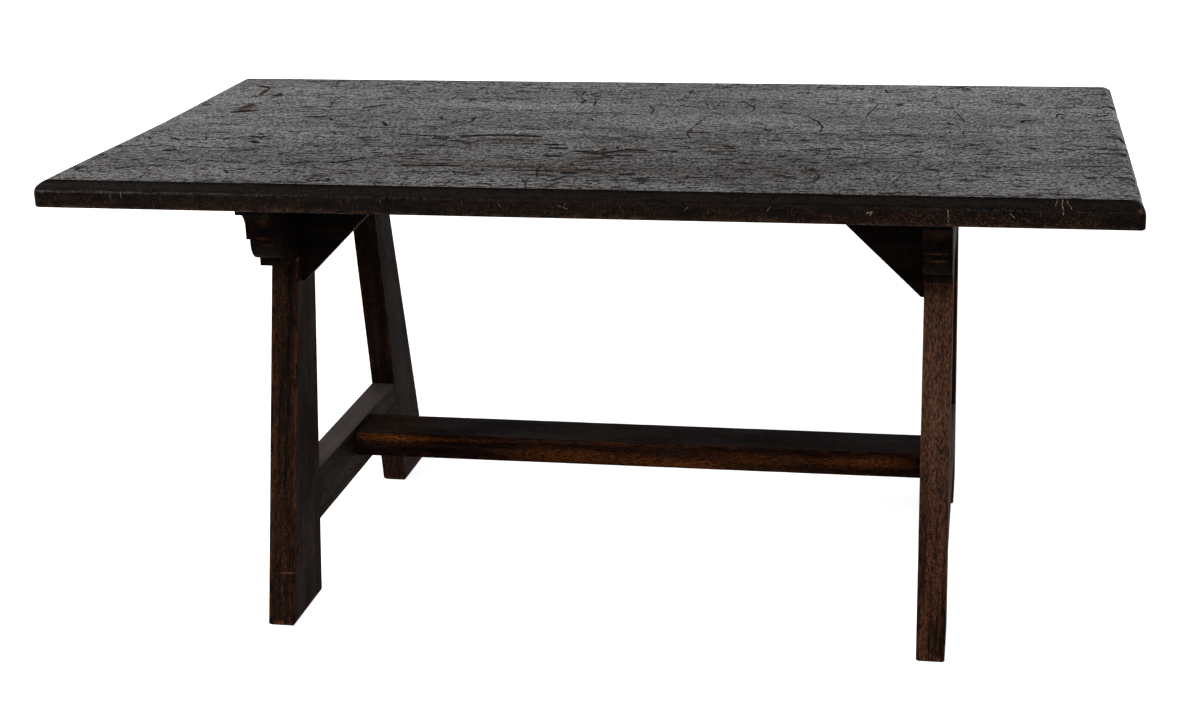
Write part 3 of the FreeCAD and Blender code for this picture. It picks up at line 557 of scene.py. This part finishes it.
def moulded_painted_shade_and_wear(tree, place, dashes):
    """Near-black colour of the moulded edges, the ends and the underside, flecked with brown low
    down: the edges' dark stain deepened into a painted shade.
    """
    # Near-black base: a painted shade, darker than the wood of the flat.
    shade = tree.mix(tree.ramp(dashes, 0.40, 0.60), colour(3, 2, 1.6), colour(12, 7.5, 5.5))
    fleck_noise = tree.noise(place, (300, 480, 480), 4.0, 0.75)
    low = tree.scaled_sum(attribute(tree, "low"), 0.85, 0.12)
    patchy = tree.noise(place, (14, 40, 40), 3.0, 0.6, (3, 1, 0))
    apart = tree.apart(place)
    flecks = tree.times(tree.ramp(fleck_noise, 0.52, 0.64), low,
                        tree.ramp(patchy, 0.38, 0.62, 0.15, 1.0),
                        tree.ramp(apart["X"], -0.6, 0.7, 0.3, 0.6))
    shade = tree.mix(flecks, shade, colour(92, 54, 29))
    rubs = tree.noise(place, (330, 330, 60), 3.0, 0.65)
    shade = tree.mix(tree.ramp(rubs, 0.60, 0.72, 0.0, 0.5), shade, colour(62, 52, 48))
    upright = tree.vector("MULTIPLY", tree.warped(place, 90, 4 * MM), (1, 0, 1))
    lines = [(0.8 * width, 0.9, points) for width, points in FACE_MARKS]
    in_front = tree.ramp(apart["Y"], -410 * MM, -400 * MM, 1.0, 0.0)
    drawn = tree.times(lines_drawn(tree, upright, lines, True), in_front,
                       tree.ramp(fleck_noise, 0.40, 0.54, 0.1, 0.9))
    return tree.mix(drawn, shade, colour(118, 100, 86))


# The fields of thin scratches, as (turn in degrees, stretch, width, seed).
HAIRLINES = [(20, (7, 26, 1), 0.015, 1), (-35, (8, 22, 1), 0.014, 5), (70, (8, 19, 1), 0.012, 9),
             (-75, (9, 17, 1), 0.011, 13)]


def hairlines(tree, place):
    """Thin scratches in many directions: the contour lines of a few stretched noises."""
    lines = 0.0
    for turn, stretch, gap, seed in HAIRLINES:
        turned = tree.add("ShaderNodeMapping")
        tree.feed(turned.inputs["Vector"], place)
        turned.inputs["Rotation"].default_value = (0, 0, math.radians(turn))
        turned.inputs["Location"].default_value = (seed, seed, seed)
        waves = tree.noise(turned.outputs["Vector"], stretch, 1.0, 0.5)
        kept = tree.ramp(tree.noise(place, (19, 15, 15), 3.0, 0.6, (seed, 0, 0)), 0.57, 0.65)
        line = tree.times(tree.contour(waves, (0.0, gap)), kept)
        lines = tree.math("MAXIMUM", lines, line)
    return lines


def steel():
    """Dull old steel of the screws, browned in places."""
    material, tree, shader = new_material("old_steel")
    place = tree.add("ShaderNodeTexCoord").outputs["Object"]
    rust = tree.ramp(tree.noise(place, (420, 420, 420), 4.0, 0.6), 0.42, 0.62)
    shade = tree.mix(rust, colour(120, 116, 110), colour(88, 52, 32))
    tree.feed(shader.inputs["Base Color"], shade)
    tree.feed(shader.inputs["Roughness"], tree.ramp(rust, 0.0, 1.0, 0.35, 0.75))
    tree.feed(shader.inputs["Metallic"], tree.ramp(rust, 0.0, 1.0, 1.0, 0.1))
    return material


# --------------------------------------------------------------------------- worn geometry

def rough_place(point, scale, seed):
    """Smooth noise from -1 to 1 at a point in metres."""
    return noise.noise(Vector(point) * scale + Vector((seed, seed * 2.3, -seed)))


def finish_mesh(mesh, name, material, replaced, sharp):
    """A visible piece in place of a CAD node, with edges that turn more than sharp kept sharp."""
    mesh.materials.clear()
    mesh.materials.append(material)
    mesh.shade_smooth()
    mesh.set_sharp_from_angle(angle=sharp)
    piece = bpy.data.objects.new(name, mesh)
    bpy.context.collection.objects.link(piece)
    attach(piece, "root")
    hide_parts(replaced)


def every_arris(normals):
    return 1.0


def sloping_arris(normals):
    """1 on the arrises of a face that slopes along the table."""
    return float(any(abs(normal.x) > 0.3 and abs(normal.z) > 0.3 for normal in normals))


def no_arris(normals):
    return 0.0


def long_arris(normals):
    """1 on the arrises that run along the table."""
    return float(all(abs(normal.x) < 0.1 for normal in normals))


# Corners of a CAD mesh that are closer than this are joined, edges that turn less than the
# next are taken out, and edges that turn more than the last are arrises.
CAD_JOIN = 0.002 * MM
CAD_FLAT = math.radians(0.5)
CAD_ARRIS = math.radians(28)

# The turn between faces at which an arris is fully worn, and how deep dents and nicks are.
FULL_WEAR = math.radians(22)
DENT = 0.25 * MM
NICK = 1.6 * MM


def worn_copy(node_name, material, spacing, seed, bevel=1.0 * MM, worn=every_arris):
    """A copy of a CAD node with broken arrises, cut finely enough to be made uneven.

    Worn tells how much the wood is rubbed bare where faces with those normals meet.
    """
    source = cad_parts[node_name]
    shape = bmesh.new()
    shape.from_mesh(source.data)
    bmesh.ops.remove_doubles(shape, verts=shape.verts, dist=CAD_JOIN)
    bmesh.ops.dissolve_limit(shape, angle_limit=CAD_FLAT, verts=shape.verts, edges=shape.edges)
    sharp_edges = [edge for edge in shape.edges
                   if len(edge.link_faces) == 2 and edge.calc_face_angle(0) > CAD_ARRIS]
    bmesh.ops.bevel(shape, geom=sharp_edges, offset=bevel, offset_type="OFFSET", segments=2,
                    profile=0.6, affect="EDGES", clamp_overlap=True)
    low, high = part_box(node_name)
    for axis in range(3):
        normal = Vector([float(axis == index) for index in range(3)])
        count = max(1, round((high[axis] - low[axis]) / spacing))
        for step in range(1, count):
            place = Vector(low) + normal * ((high[axis] - low[axis]) * step / count)
            bmesh.ops.bisect_plane(shape, geom=shape.verts[:] + shape.edges[:] + shape.faces[:],
                                   plane_co=place, plane_no=normal, dist=0.01 * MM)
    shape.normal_update()
    layer = shape.verts.layers.float.new("wear")
    for vertex in shape.verts:
        normals = [face.normal for face in vertex.link_faces]
        turns = (first.angle(second, 0.0) for first in normals for second in normals)
        vertex[layer] = min(1.0, max(turns, default=0.0) / FULL_WEAR) * worn(normals)
    moves = {}
    for vertex in shape.verts:
        rough = rough_place(vertex.co, 22, seed) + 0.5 * rough_place(vertex.co, 70, seed + 3)
        nick = max(0.0, rough_place(vertex.co, 90, seed + 7) - 0.30) * vertex[layer]
        moves[vertex] = vertex.normal * (-DENT * (0.5 + 0.5 * rough) - NICK * nick)
    for vertex, move in moves.items():
        vertex.co += move
    mesh = bpy.data.meshes.new(f"{node_name}_worn")
    shape.to_mesh(mesh)
    shape.free()
    finish_mesh(mesh, f"{node_name}_worn", material, node_name,
                sharp=math.radians(32))


# ---------------------------------------------------------------------------- the two boards

TOP_LOW = Vector(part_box("top_board_front")[0])
TOP_HIGH = Vector(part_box("top_board_rear")[1])
JOINT_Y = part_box("top_board_rear")[0][1]
END_ROUND = 20 * MM
MOULD_INSET = 22 * MM
QUIRK = 2.0 * MM
SLOPE = math.radians(25)
SHOULDER_RADIUS = 10 * MM
UNDER_RADIUS = 3 * MM
CORNER_RADII = {("left", "front"): 11 * MM, ("left", "rear"): 8 * MM,
                ("right", "front"): 8 * MM, ("right", "rear"): 4 * MM}
CORNER_CHIP = Vector((828, -436, 749)) * MM
CHIP_RADIUS = 6 * MM
ARRIS_RADIUS = 1.2 * MM

# Cracks in the right end, as (y, half width, depth).
END_CRACKS = [
    (JOINT_Y - 12 * MM, 11 * MM, 6.0 * MM), (116 * MM, 11 * MM, 5.0 * MM),
    (-135 * MM, 11 * MM, 3.5 * MM), (-218 * MM, 9 * MM, 4.5 * MM), (-288 * MM, 9 * MM, 4.5 * MM),
    (235 * MM, 12 * MM, 4.0 * MM), (350 * MM, 14 * MM, 2.5 * MM),
]

# How far in from its ends and from any of its edges the top is battered.
BATTERED_END = 26 * MM
BATTERED_EDGE = 40 * MM

# How deep the dips and dents of the upper face are, and the dips of the underside.
TOP_DIP, TOP_DENT, UNDER_DIP = 0.35 * MM, 1.3 * MM, 0.3 * MM

# The hollow worn into the left end: its depth, its length along x and its half width.
SAG_DEPTH = 4.0 * MM
SAG_LENGTH = 110 * MM
SAG_HALF_WIDTH = 410 * MM

# The rows of corners on the side faces, as shares of the thickness.
SIDE_LEVELS = (0.12, 0.3, 0.5, 0.7, 0.88)

# How far the arris above the quirk drops, and the width over which the quirk begins.
ARRIS_DROP = 0.15 * MM
QUIRK_EASE = 0.5 * MM


def moulding_drop(inset):
    """How far the upper side of the moulded edge lies below the flat, at an inset."""
    meet = SHOULDER_RADIUS * (1 - math.sin(SLOPE))
    if inset >= MOULD_INSET:
        return ARRIS_DROP * math.exp(-(inset - MOULD_INSET) / ARRIS_RADIUS)
    fall = QUIRK + (MOULD_INSET - max(inset, meet)) * math.tan(SLOPE)
    if inset < meet:
        across = SHOULDER_RADIUS - inset
        fall += SHOULDER_RADIUS * math.cos(SLOPE) - math.sqrt(SHOULDER_RADIUS ** 2 - across ** 2)
    ease = min(1.0, (MOULD_INSET - inset) / QUIRK_EASE)
    return fall * ease + ARRIS_DROP * (1 - ease)


def end_drop(inset):
    """How far the rounded end lies below the flat, at an inset."""
    across = max(0.0, END_ROUND - inset)
    return END_ROUND - math.sqrt(END_ROUND ** 2 - across ** 2)


def moulding_insets():
    """Grid insets that follow the moulding of a long edge."""
    meet = SHOULDER_RADIUS * (1 - math.sin(SLOPE))
    shoulder = [SHOULDER_RADIUS * (1 - math.cos(math.radians(turn))) for turn in range(0, 66, 13)]
    flat = [meet + (MOULD_INSET - meet) * share for share in (0.2, 0.4, 0.6, 0.8, 0.93)]
    arris = [MOULD_INSET + step * MM for step in (-0.5, -0.25, 0, 0.6, 1.5, 3.5, 7)]
    return shoulder + flat + arris


def round_insets():
    """Grid insets that follow the round of an end."""
    turns = [END_ROUND * (1 - math.cos(math.radians(turn))) for turn in range(0, 91, 9)]
    return turns + [END_ROUND + 3 * MM, END_ROUND + 7 * MM]


def grid_line(low, high, low_insets, high_insets, spacing):
    """Positions across the top, set closer together by the insets from each end."""
    places = {low + inset for inset in low_insets} | {high - inset for inset in high_insets}
    start, end = low + max(low_insets, default=0), high - max(high_insets, default=0)
    count = round((end - start) / spacing)
    places.update(start + (end - start) * step / count for step in range(count + 1))
    return sorted(places)


def rounded_corner(x, y):
    """Move a place of the plan so that the corners of the top are round."""
    from_x = min(x - TOP_LOW.x, TOP_HIGH.x - x)
    from_y = min(y - TOP_LOW.y, TOP_HIGH.y - y)
    radius = CORNER_RADII["left" if x < 0 else "right", "front" if y < 0 else "rear"]
    across, along = radius - from_x, radius - from_y
    if across <= 0 or along <= 0:
        return x, y
    ring = max(across, along)
    turn = math.pi / 4 * (along / across if across >= along else 2 - across / along)
    new_x = radius - ring * math.cos(turn)
    new_y = radius - ring * math.sin(turn)
    x = TOP_LOW.x + new_x if x < 0 else TOP_HIGH.x - new_x
    y = TOP_LOW.y + new_y if y < 0 else TOP_HIGH.y - new_y
    return x, y


def end_nicks(x, y, depth):
    """How far the battered ends are worn back at a place, and how near the left end it is."""
    right = max(0.0, 1 - (TOP_HIGH.x - x) / BATTERED_END)
    left = max(0.0, 1 - (x - TOP_LOW.x) / BATTERED_END)
    wear = 1.6 * MM * max(0.0, rough_place((0, y, 0), 24, 3.1)) * right
    wear += 1.2 * MM * max(0.0, rough_place((0, y, 0), 60, 5.7)) * right
    wear += 0.8 * MM * (0.5 + 0.5 * rough_place((0, y, 0), 21, 8.4)) * left
    for crack, width, cut in END_CRACKS:
        wear += cut * right * max(depth, 0.55) * max(0.0, 1 - abs(y - crack) / width)
    return wear, left


def left_end_sag(x, y):
    """How much lower the left end is worn, halfway along it."""
    middle = math.cos(math.radians(90 * min(1.0, abs(y) / SAG_HALF_WIDTH))) ** 2
    near = max(0.0, 1 - (x - TOP_LOW.x) / SAG_LENGTH)
    return SAG_DEPTH * middle * near ** 1.5


def board(name, low_y, high_y, seed, material):
    """One board of the top: the plan grid twice, joined round its border."""
    front = name == "front"
    edge = moulding_insets()
    xs = grid_line(TOP_LOW.x, TOP_HIGH.x, round_insets(), round_insets(), 7 * MM)
    ys = grid_line(low_y, high_y, edge if front else [], [] if front else edge, 6 * MM)
    shape = bmesh.new()
    wear_layer = shape.verts.layers.float.new("wear")
    moulded_layer = shape.verts.layers.float.new("moulded")
    low_layer = shape.verts.layers.float.new("low")

    def add(x, y, z, wear, moulded):
        flat_x, flat_y = rounded_corner(x, y)
        depth = min(1.0, max(0.0, (z - TOP_LOW.z) / (TOP_HIGH.z - TOP_LOW.z)))
        back, left = end_nicks(flat_x, flat_y, depth)
        flat_x += back * (1 if left else -1)
        inset = min(flat_x - TOP_LOW.x, TOP_HIGH.x - flat_x,
                    flat_y - TOP_LOW.y, TOP_HIGH.y - flat_y)
        near_edge = max(0.0, 1 - inset / BATTERED_EDGE)
        dip = 0.5 + 0.5 * rough_place((flat_x, flat_y, z), 9, seed)
        dent = max(0.0, rough_place((flat_x, flat_y, z), 75, seed + 4) - 0.25) * near_edge
        if depth > 0.5:
            z -= TOP_DIP * dip + TOP_DENT * dent
            z -= left_end_sag(flat_x, flat_y) * (2 * depth - 1)
        elif depth == 0.0:
            z += UNDER_DIP * dip
        chip = 1.0 - (Vector((flat_x, flat_y, z)) - CORNER_CHIP).length / CHIP_RADIUS
        vertex = shape.verts.new((flat_x, flat_y, z))
        vertex[wear_layer] = max(wear, chip)
        vertex[moulded_layer] = moulded
        vertex[low_layer] = 1 - min(1.0, max(0.0, (depth - 0.3) / 0.4))
        return vertex

    def under_rise(inset):
        across = max(0.0, UNDER_RADIUS - inset)
        return UNDER_RADIUS - math.sqrt(UNDER_RADIUS ** 2 - across ** 2)

    upper, lower = [], []
    for x in xs:
        from_end = max(0.0, min(x - TOP_LOW.x, TOP_HIGH.x - x))
        upper.append([])
        lower.append([])
        for y in ys:
            from_edge = max(0.0, y - TOP_LOW.y if front else TOP_HIGH.y - y)
            drop = max(moulding_drop(from_edge), end_drop(from_end))
            on_end = min(1.0, max(0.0, (end_drop(from_end) - 6 * MM) / (8 * MM)))
            on_edge = float(from_edge < MOULD_INSET - 0.1 * MM)
            upper[-1].append(add(x, y, TOP_HIGH.z - drop, 0.0, max(on_end, on_edge)))
            inset = min(from_end, from_edge)
            rubbed = max(0.0, 0.2 - inset / (9 * MM))
            lower[-1].append(add(x, y, TOP_LOW.z + under_rise(inset), rubbed, 1.0))
    last_x, last_y = len(xs) - 1, len(ys) - 1
    for i in range(last_x):
        for j in range(last_y):
            shape.faces.new((upper[i][j], upper[i + 1][j], upper[i + 1][j + 1], upper[i][j + 1]))
            shape.faces.new((lower[i][j], lower[i][j + 1], lower[i + 1][j + 1], lower[i + 1][j]))
    border = [(i, 0) for i in range(last_x)] + [(last_x, j) for j in range(last_y)]
    border += [(i, last_y) for i in range(last_x, 0, -1)] + [(0, j) for j in range(last_y, 0, -1)]
    columns = []
    for i, j in border:
        joint = j == (last_y if front else 0)
        low_z, high_z = lower[i][j].co.z, upper[i][j].co.z
        between = [add(xs[i], ys[j], low_z + (high_z - low_z) * share,
                       0.0 if joint else max(0.0, 0.16 - share), 1.0) for share in SIDE_LEVELS]
        columns.append([lower[i][j], *between, upper[i][j]])
    for column, following in zip(columns, columns[1:] + columns[:1]):
        for level in range(len(SIDE_LEVELS) + 1):
            shape.faces.new((column[level], following[level],
                             following[level + 1], column[level + 1]))
    bmesh.ops.recalc_face_normals(shape, faces=shape.faces)
    mesh = bpy.data.meshes.new(f"top_board_{name}_worn")
    shape.to_mesh(mesh)
    shape.free()
    finish_mesh(mesh, f"top_board_{name}_worn", material, f"top_board_{name}",
                sharp=math.radians(40))


board("front", TOP_LOW.y, JOINT_Y, 2.0, top_wood("top_front_wood", (0.3, 0.2, 0.1), 1.0))
board("rear", JOINT_Y, TOP_HIGH.y, 5.0, top_wood("top_rear_wood", (4.1, 2.7, 1.9), 0.75))


# ------------------------------------------------------------------------------ the trestles

LEG_SLOPE = 0.197
# How light each leg's stain is painted, standing for the light and shade it gets: the right front
# leg lightest, lit from the right front, the rear left leg darkest, in the shadow of the top.
LEG_LIGHT_AND_SHADE_TONES = {("left", "front"): 0.7, ("right", "front"): 1.08, ("left", "rear"): 0.55,
             ("right", "rear"): 0.8}

# Lighter places on front faces, as (x, z, half length, half height, strength): the stain rubbed
# away on the stretcher and at the left front leg's foot, painted light on the rear left leg's
# foot, a painted sheen on the upper right front leg and painted highlights on the steps of the
# bearers' ends.
STRETCHER_GLOWS = [
    (-415, 198, 62, 6, 0.8), (-310, 198, 60, 3, 0.3), (-90, 176, 110, 11, 0.4),
    (90, 170, 80, 11, 0.45), (240, 184, 90, 10, 0.25), (400, 186, 60, 10, 0.3),
    (455, 188, 46, 11, 0.35),
]
# The left front leg's foot is rubbed; the rear left leg's foot has painted light, and the upper
# right front leg a painted sheen.
LEG_RUBS_AND_PAINTED_LIGHT = {("left", "front"): [(-506, 86, 10, 1.6, 0.9)],
             ("left", "rear"): [(-515, 40, 70, 75, 0.55)],
             ("right", "front"): [(543, 440, 70, 190, 0.45)], ("right", "rear"): []}
# Painted highlights on the steps of the bearers' moulded ends.
BEARER_PAINTED_HIGHLIGHTS = {"left": [(-509, 674, 8, 6, 0.4), (-511, 649, 9, 1.5, 0.7),
                         (-510, 634, 8, 1.5, 0.6)],
                "right": [(543, 650, 16, 1.2, 0.9), (543, 634, 12, 1.5, 0.9),
                          (541, 680, 13, 10, 0.2)]}
# The shades of those places: rubbed stain, painted light and painted sheen.
LEG_RUB_AND_LIGHT_SHADES = {("left", "front"): (104, 60, 34), ("left", "rear"): (56, 36, 29),
                   ("right", "front"): (92, 66, 53), ("right", "rear"): (60, 40, 30)}

for side_index, side in enumerate(SIDES):
    # The side whose faces get painted shade: those turned to the middle of the table.
    shaded_side = 1.0 - 2.0 * side_index
    for end_index, end in enumerate(ENDS):
        seed = 3.7 * side_index + 1.9 * end_index + 0.5
        lean = -LEG_SLOPE if end == "front" else LEG_SLOPE
        leg_wood = base_wood(f"leg_{side}_{end}_wood", "z", (seed, seed * 2, seed * 3),
                             tone=LEG_LIGHT_AND_SHADE_TONES[side, end], warmth=1.05, slope=lean, shaded_side=shaded_side,
                             gloss=0.012, rubs_and_highlights=LEG_RUBS_AND_PAINTED_LIGHT[side, end],
                             rub_and_highlight_shade=LEG_RUB_AND_LIGHT_SHADES[side, end])
        worn_copy(f"leg_{side}_{end}", leg_wood, 11 * MM, seed=seed)
        # The brackets' low tone is a painted shade, for the shadow under the top.
        bracket_wood = base_wood(f"bracket_{side}_{end}_wood", "x", (seed, 7, seed), tone=0.35,
                                 bare=(105, 90, 76))
        # The pale bare colour on the brackets' sloping arrises paints a highlight along them.
        worn_copy(f"bracket_{side}_{end}", bracket_wood, 18 * MM, bevel=0.6 * MM, seed=seed + 11,
                  worn=sloping_arris)
    shift = 5.3 * side_index
    # The bearers' low tone is a painted shade, for the shadow under the top.
    bearer_wood = base_wood(f"bearer_{side}_wood", "y", (shift, 1, 2), tone=0.42,
                            rubs_and_highlights=BEARER_PAINTED_HIGHLIGHTS[side], rub_and_highlight_shade=(84, 50, 27))
    worn_copy(f"bearer_{side}", bearer_wood, 12 * MM, bevel=0.6 * MM, seed=21 + shift,
              worn=no_arris)
    # The rails' upper faces take a painted grey sheen.
    rail_wood = base_wood(f"rail_{side}_wood", "y", (shift, 5, 3), tone=0.75, shade_and_sheen_share=0.5,
                          shade_and_sheen_colour=(74, 66, 64), warmth=0.9, shaded_side=shaded_side, gloss=0.012)
    worn_copy(f"rail_{side}", rail_wood, 11 * MM, seed=31 + shift, worn=no_arris)
# The stretcher's upper face takes a painted shade for the shadow under the top.
stretcher_wood = base_wood("stretcher_wood", "x", (1, 2, 3), tone=0.62, warmth=1.12, shade_and_sheen_share=0.6,
                           bare=(74, 43, 22), gloss=0.004, rubs_and_highlights=STRETCHER_GLOWS)
worn_copy("stretcher", stretcher_wood, 11 * MM, seed=41, worn=long_arris)

peg_wood = base_wood("peg_wood", "x", (2, 8, 4), tone=0.8)
old_steel = steel()
for side in SIDES:
    for kind in ("bearer_pegs", "rail_pegs", "bracket_dowels", "stretcher_wedges"):
        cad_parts[f"{kind}_{side}"].material_slots[0].material = peg_wood
    for kind in ("bearer_screws", "bracket_screws"):
        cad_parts[f"{kind}_{side}"].material_slots[0].material = old_steel


# ------------------------------------------------------------------- floor, light and camera

FLOOR_RADIUS = 5.0
FLOOR_ALBEDO = 0.6
FLOOR_GLOW = 0.82
WALL_LIGHT, FRONT_LIGHT, CEILING_LIGHT = 2.3, 0.2, 0.12

# Where the front gives way to the wall, as the y of a direction, and the wall to the
# ceiling, as its z.
WALL_Y = (-0.3, 0.5)
CEILING_Z = (0.36, 0.72)


def shown_white(tree):
    """1 for the rays that see the background: the camera's, and those of gloss and glass."""
    rays = tree.add("ShaderNodeLightPath").outputs
    gloss = tree.math("MAXIMUM", rays["Is Glossy Ray"], rays["Is Transmission Ray"])
    return tree.math("MAXIMUM", rays["Is Camera Ray"], gloss)


def pale_floor():
    """A pale floor that fades into the white surround well away from the table."""
    material, tree, shader = new_material("pale_floor")
    shader.inputs["Base Color"].default_value = (FLOOR_ALBEDO, FLOOR_ALBEDO, FLOOR_ALBEDO, 1)
    shader.inputs["Roughness"].default_value = 0.9
    shader.inputs["Specular IOR Level"].default_value = 0.0
    place = tree.add("ShaderNodeTexCoord").outputs["Object"]
    away = tree.vector("LENGTH", place)
    clear = tree.add("ShaderNodeBsdfTransparent")
    blend = tree.add("ShaderNodeMixShader")
    tree.feed(blend.inputs[0], tree.ramp(away, 0.35 * FLOOR_RADIUS, 0.95 * FLOOR_RADIUS))
    shader.inputs["Emission Color"].default_value = (1, 1, 1, 1)
    tree.feed(shader.inputs["Emission Strength"], tree.times(shown_white(tree), FLOOR_GLOW))
    tree.feed(blend.inputs[1], shader.outputs[0])
    tree.feed(blend.inputs[2], clear.outputs[0])
    tree.feed(material.node_tree.nodes["Material Output"].inputs["Surface"], blend.outputs[0])
    bpy.ops.mesh.primitive_circle_add(vertices=96, radius=FLOOR_RADIUS, fill_type="NGON",
                                      location=(0, 0, -0.5 * MM))
    floor = bpy.context.object
    floor.name = "floor"
    floor.data.materials.append(material)


def surround():
    """A white surround. It lights the table as a studio does: a bright wall behind, a dim
    front and a dark ceiling.
    """
    world = bpy.data.worlds.new("surround")
    bpy.context.scene.world = world
    world.use_nodes = True
    tree = Tree(world.node_tree)
    back = world.node_tree.nodes["Background"]
    back.inputs["Color"].default_value = (1, 1, 1, 1)
    toward = tree.apart(tree.add("ShaderNodeTexCoord").outputs["Generated"])
    wall = tree.ramp(toward["Y"], *WALL_Y, FRONT_LIGHT, WALL_LIGHT)
    light = tree.scaled_sum(tree.ramp(toward["Z"], *CEILING_Z, 1.0, 0.0), wall, CEILING_LIGHT)
    tree.feed(back.inputs["Strength"], tree.math("MAXIMUM", light, shown_white(tree)))


def soft_lamp(name, place, aim, width, height, power):
    lamp = bpy.data.lights.new(name, "AREA")
    lamp.shape = "RECTANGLE"
    lamp.size, lamp.size_y = width, height
    lamp.energy = power
    holder = bpy.data.objects.new(name, lamp)
    holder.location = place
    holder.rotation_euler = (Vector(aim) - Vector(place)).to_track_quat("-Z", "Y").to_euler()
    bpy.context.collection.objects.link(holder)


CAMERA_PLACE = Vector((0.61177, -3.09221, 1.43616))
CAMERA_YAW = math.radians(9.3023)
CAMERA_PITCH = math.radians(15.806)
CAMERA_ROLL = math.radians(-1.1888)
FOCAL_PIXELS = 1911.56
IMAGE_WIDTH, IMAGE_HEIGHT = 1200, 709
CENTRE_PIXEL = (683.45, 251.06)
SENSOR_WIDTH = 36.0


def camera():
    """The camera at the place from which the table was seen."""
    forward = Vector((-math.sin(CAMERA_YAW) * math.cos(CAMERA_PITCH),
                      math.cos(CAMERA_YAW) * math.cos(CAMERA_PITCH), -math.sin(CAMERA_PITCH)))
    level = Vector((math.cos(CAMERA_YAW), math.sin(CAMERA_YAW), 0))
    upward = level.cross(forward)
    right = level * math.cos(CAMERA_ROLL) + upward * math.sin(CAMERA_ROLL)
    up = upward * math.cos(CAMERA_ROLL) - level * math.sin(CAMERA_ROLL)
    lens = bpy.data.cameras.new("camera")
    lens.sensor_width = SENSOR_WIDTH
    lens.lens = FOCAL_PIXELS / IMAGE_WIDTH * SENSOR_WIDTH
    lens.shift_x = (IMAGE_WIDTH / 2 - CENTRE_PIXEL[0]) / IMAGE_WIDTH
    lens.shift_y = (CENTRE_PIXEL[1] - IMAGE_HEIGHT / 2) / IMAGE_WIDTH
    holder = bpy.data.objects.new("camera", lens)
    holder.matrix_world = Matrix((right, up, -forward)).transposed().to_4x4()
    holder.location = CAMERA_PLACE
    bpy.context.collection.objects.link(holder)
    bpy.context.scene.camera = holder


pale_floor()
surround()
soft_lamp("left_lamp", place=(-1.97, -1.9, 2.55), aim=(0, 0, 0.4), width=0.7, height=1.6,
          power=120)
soft_lamp("right_lamp", place=(0.85, -2.6, 2.3), aim=(0.3, 0, 0.4), width=1.3, height=0.7,
          power=42)
camera()

bpy.context.scene.view_settings.view_transform = "Standard"
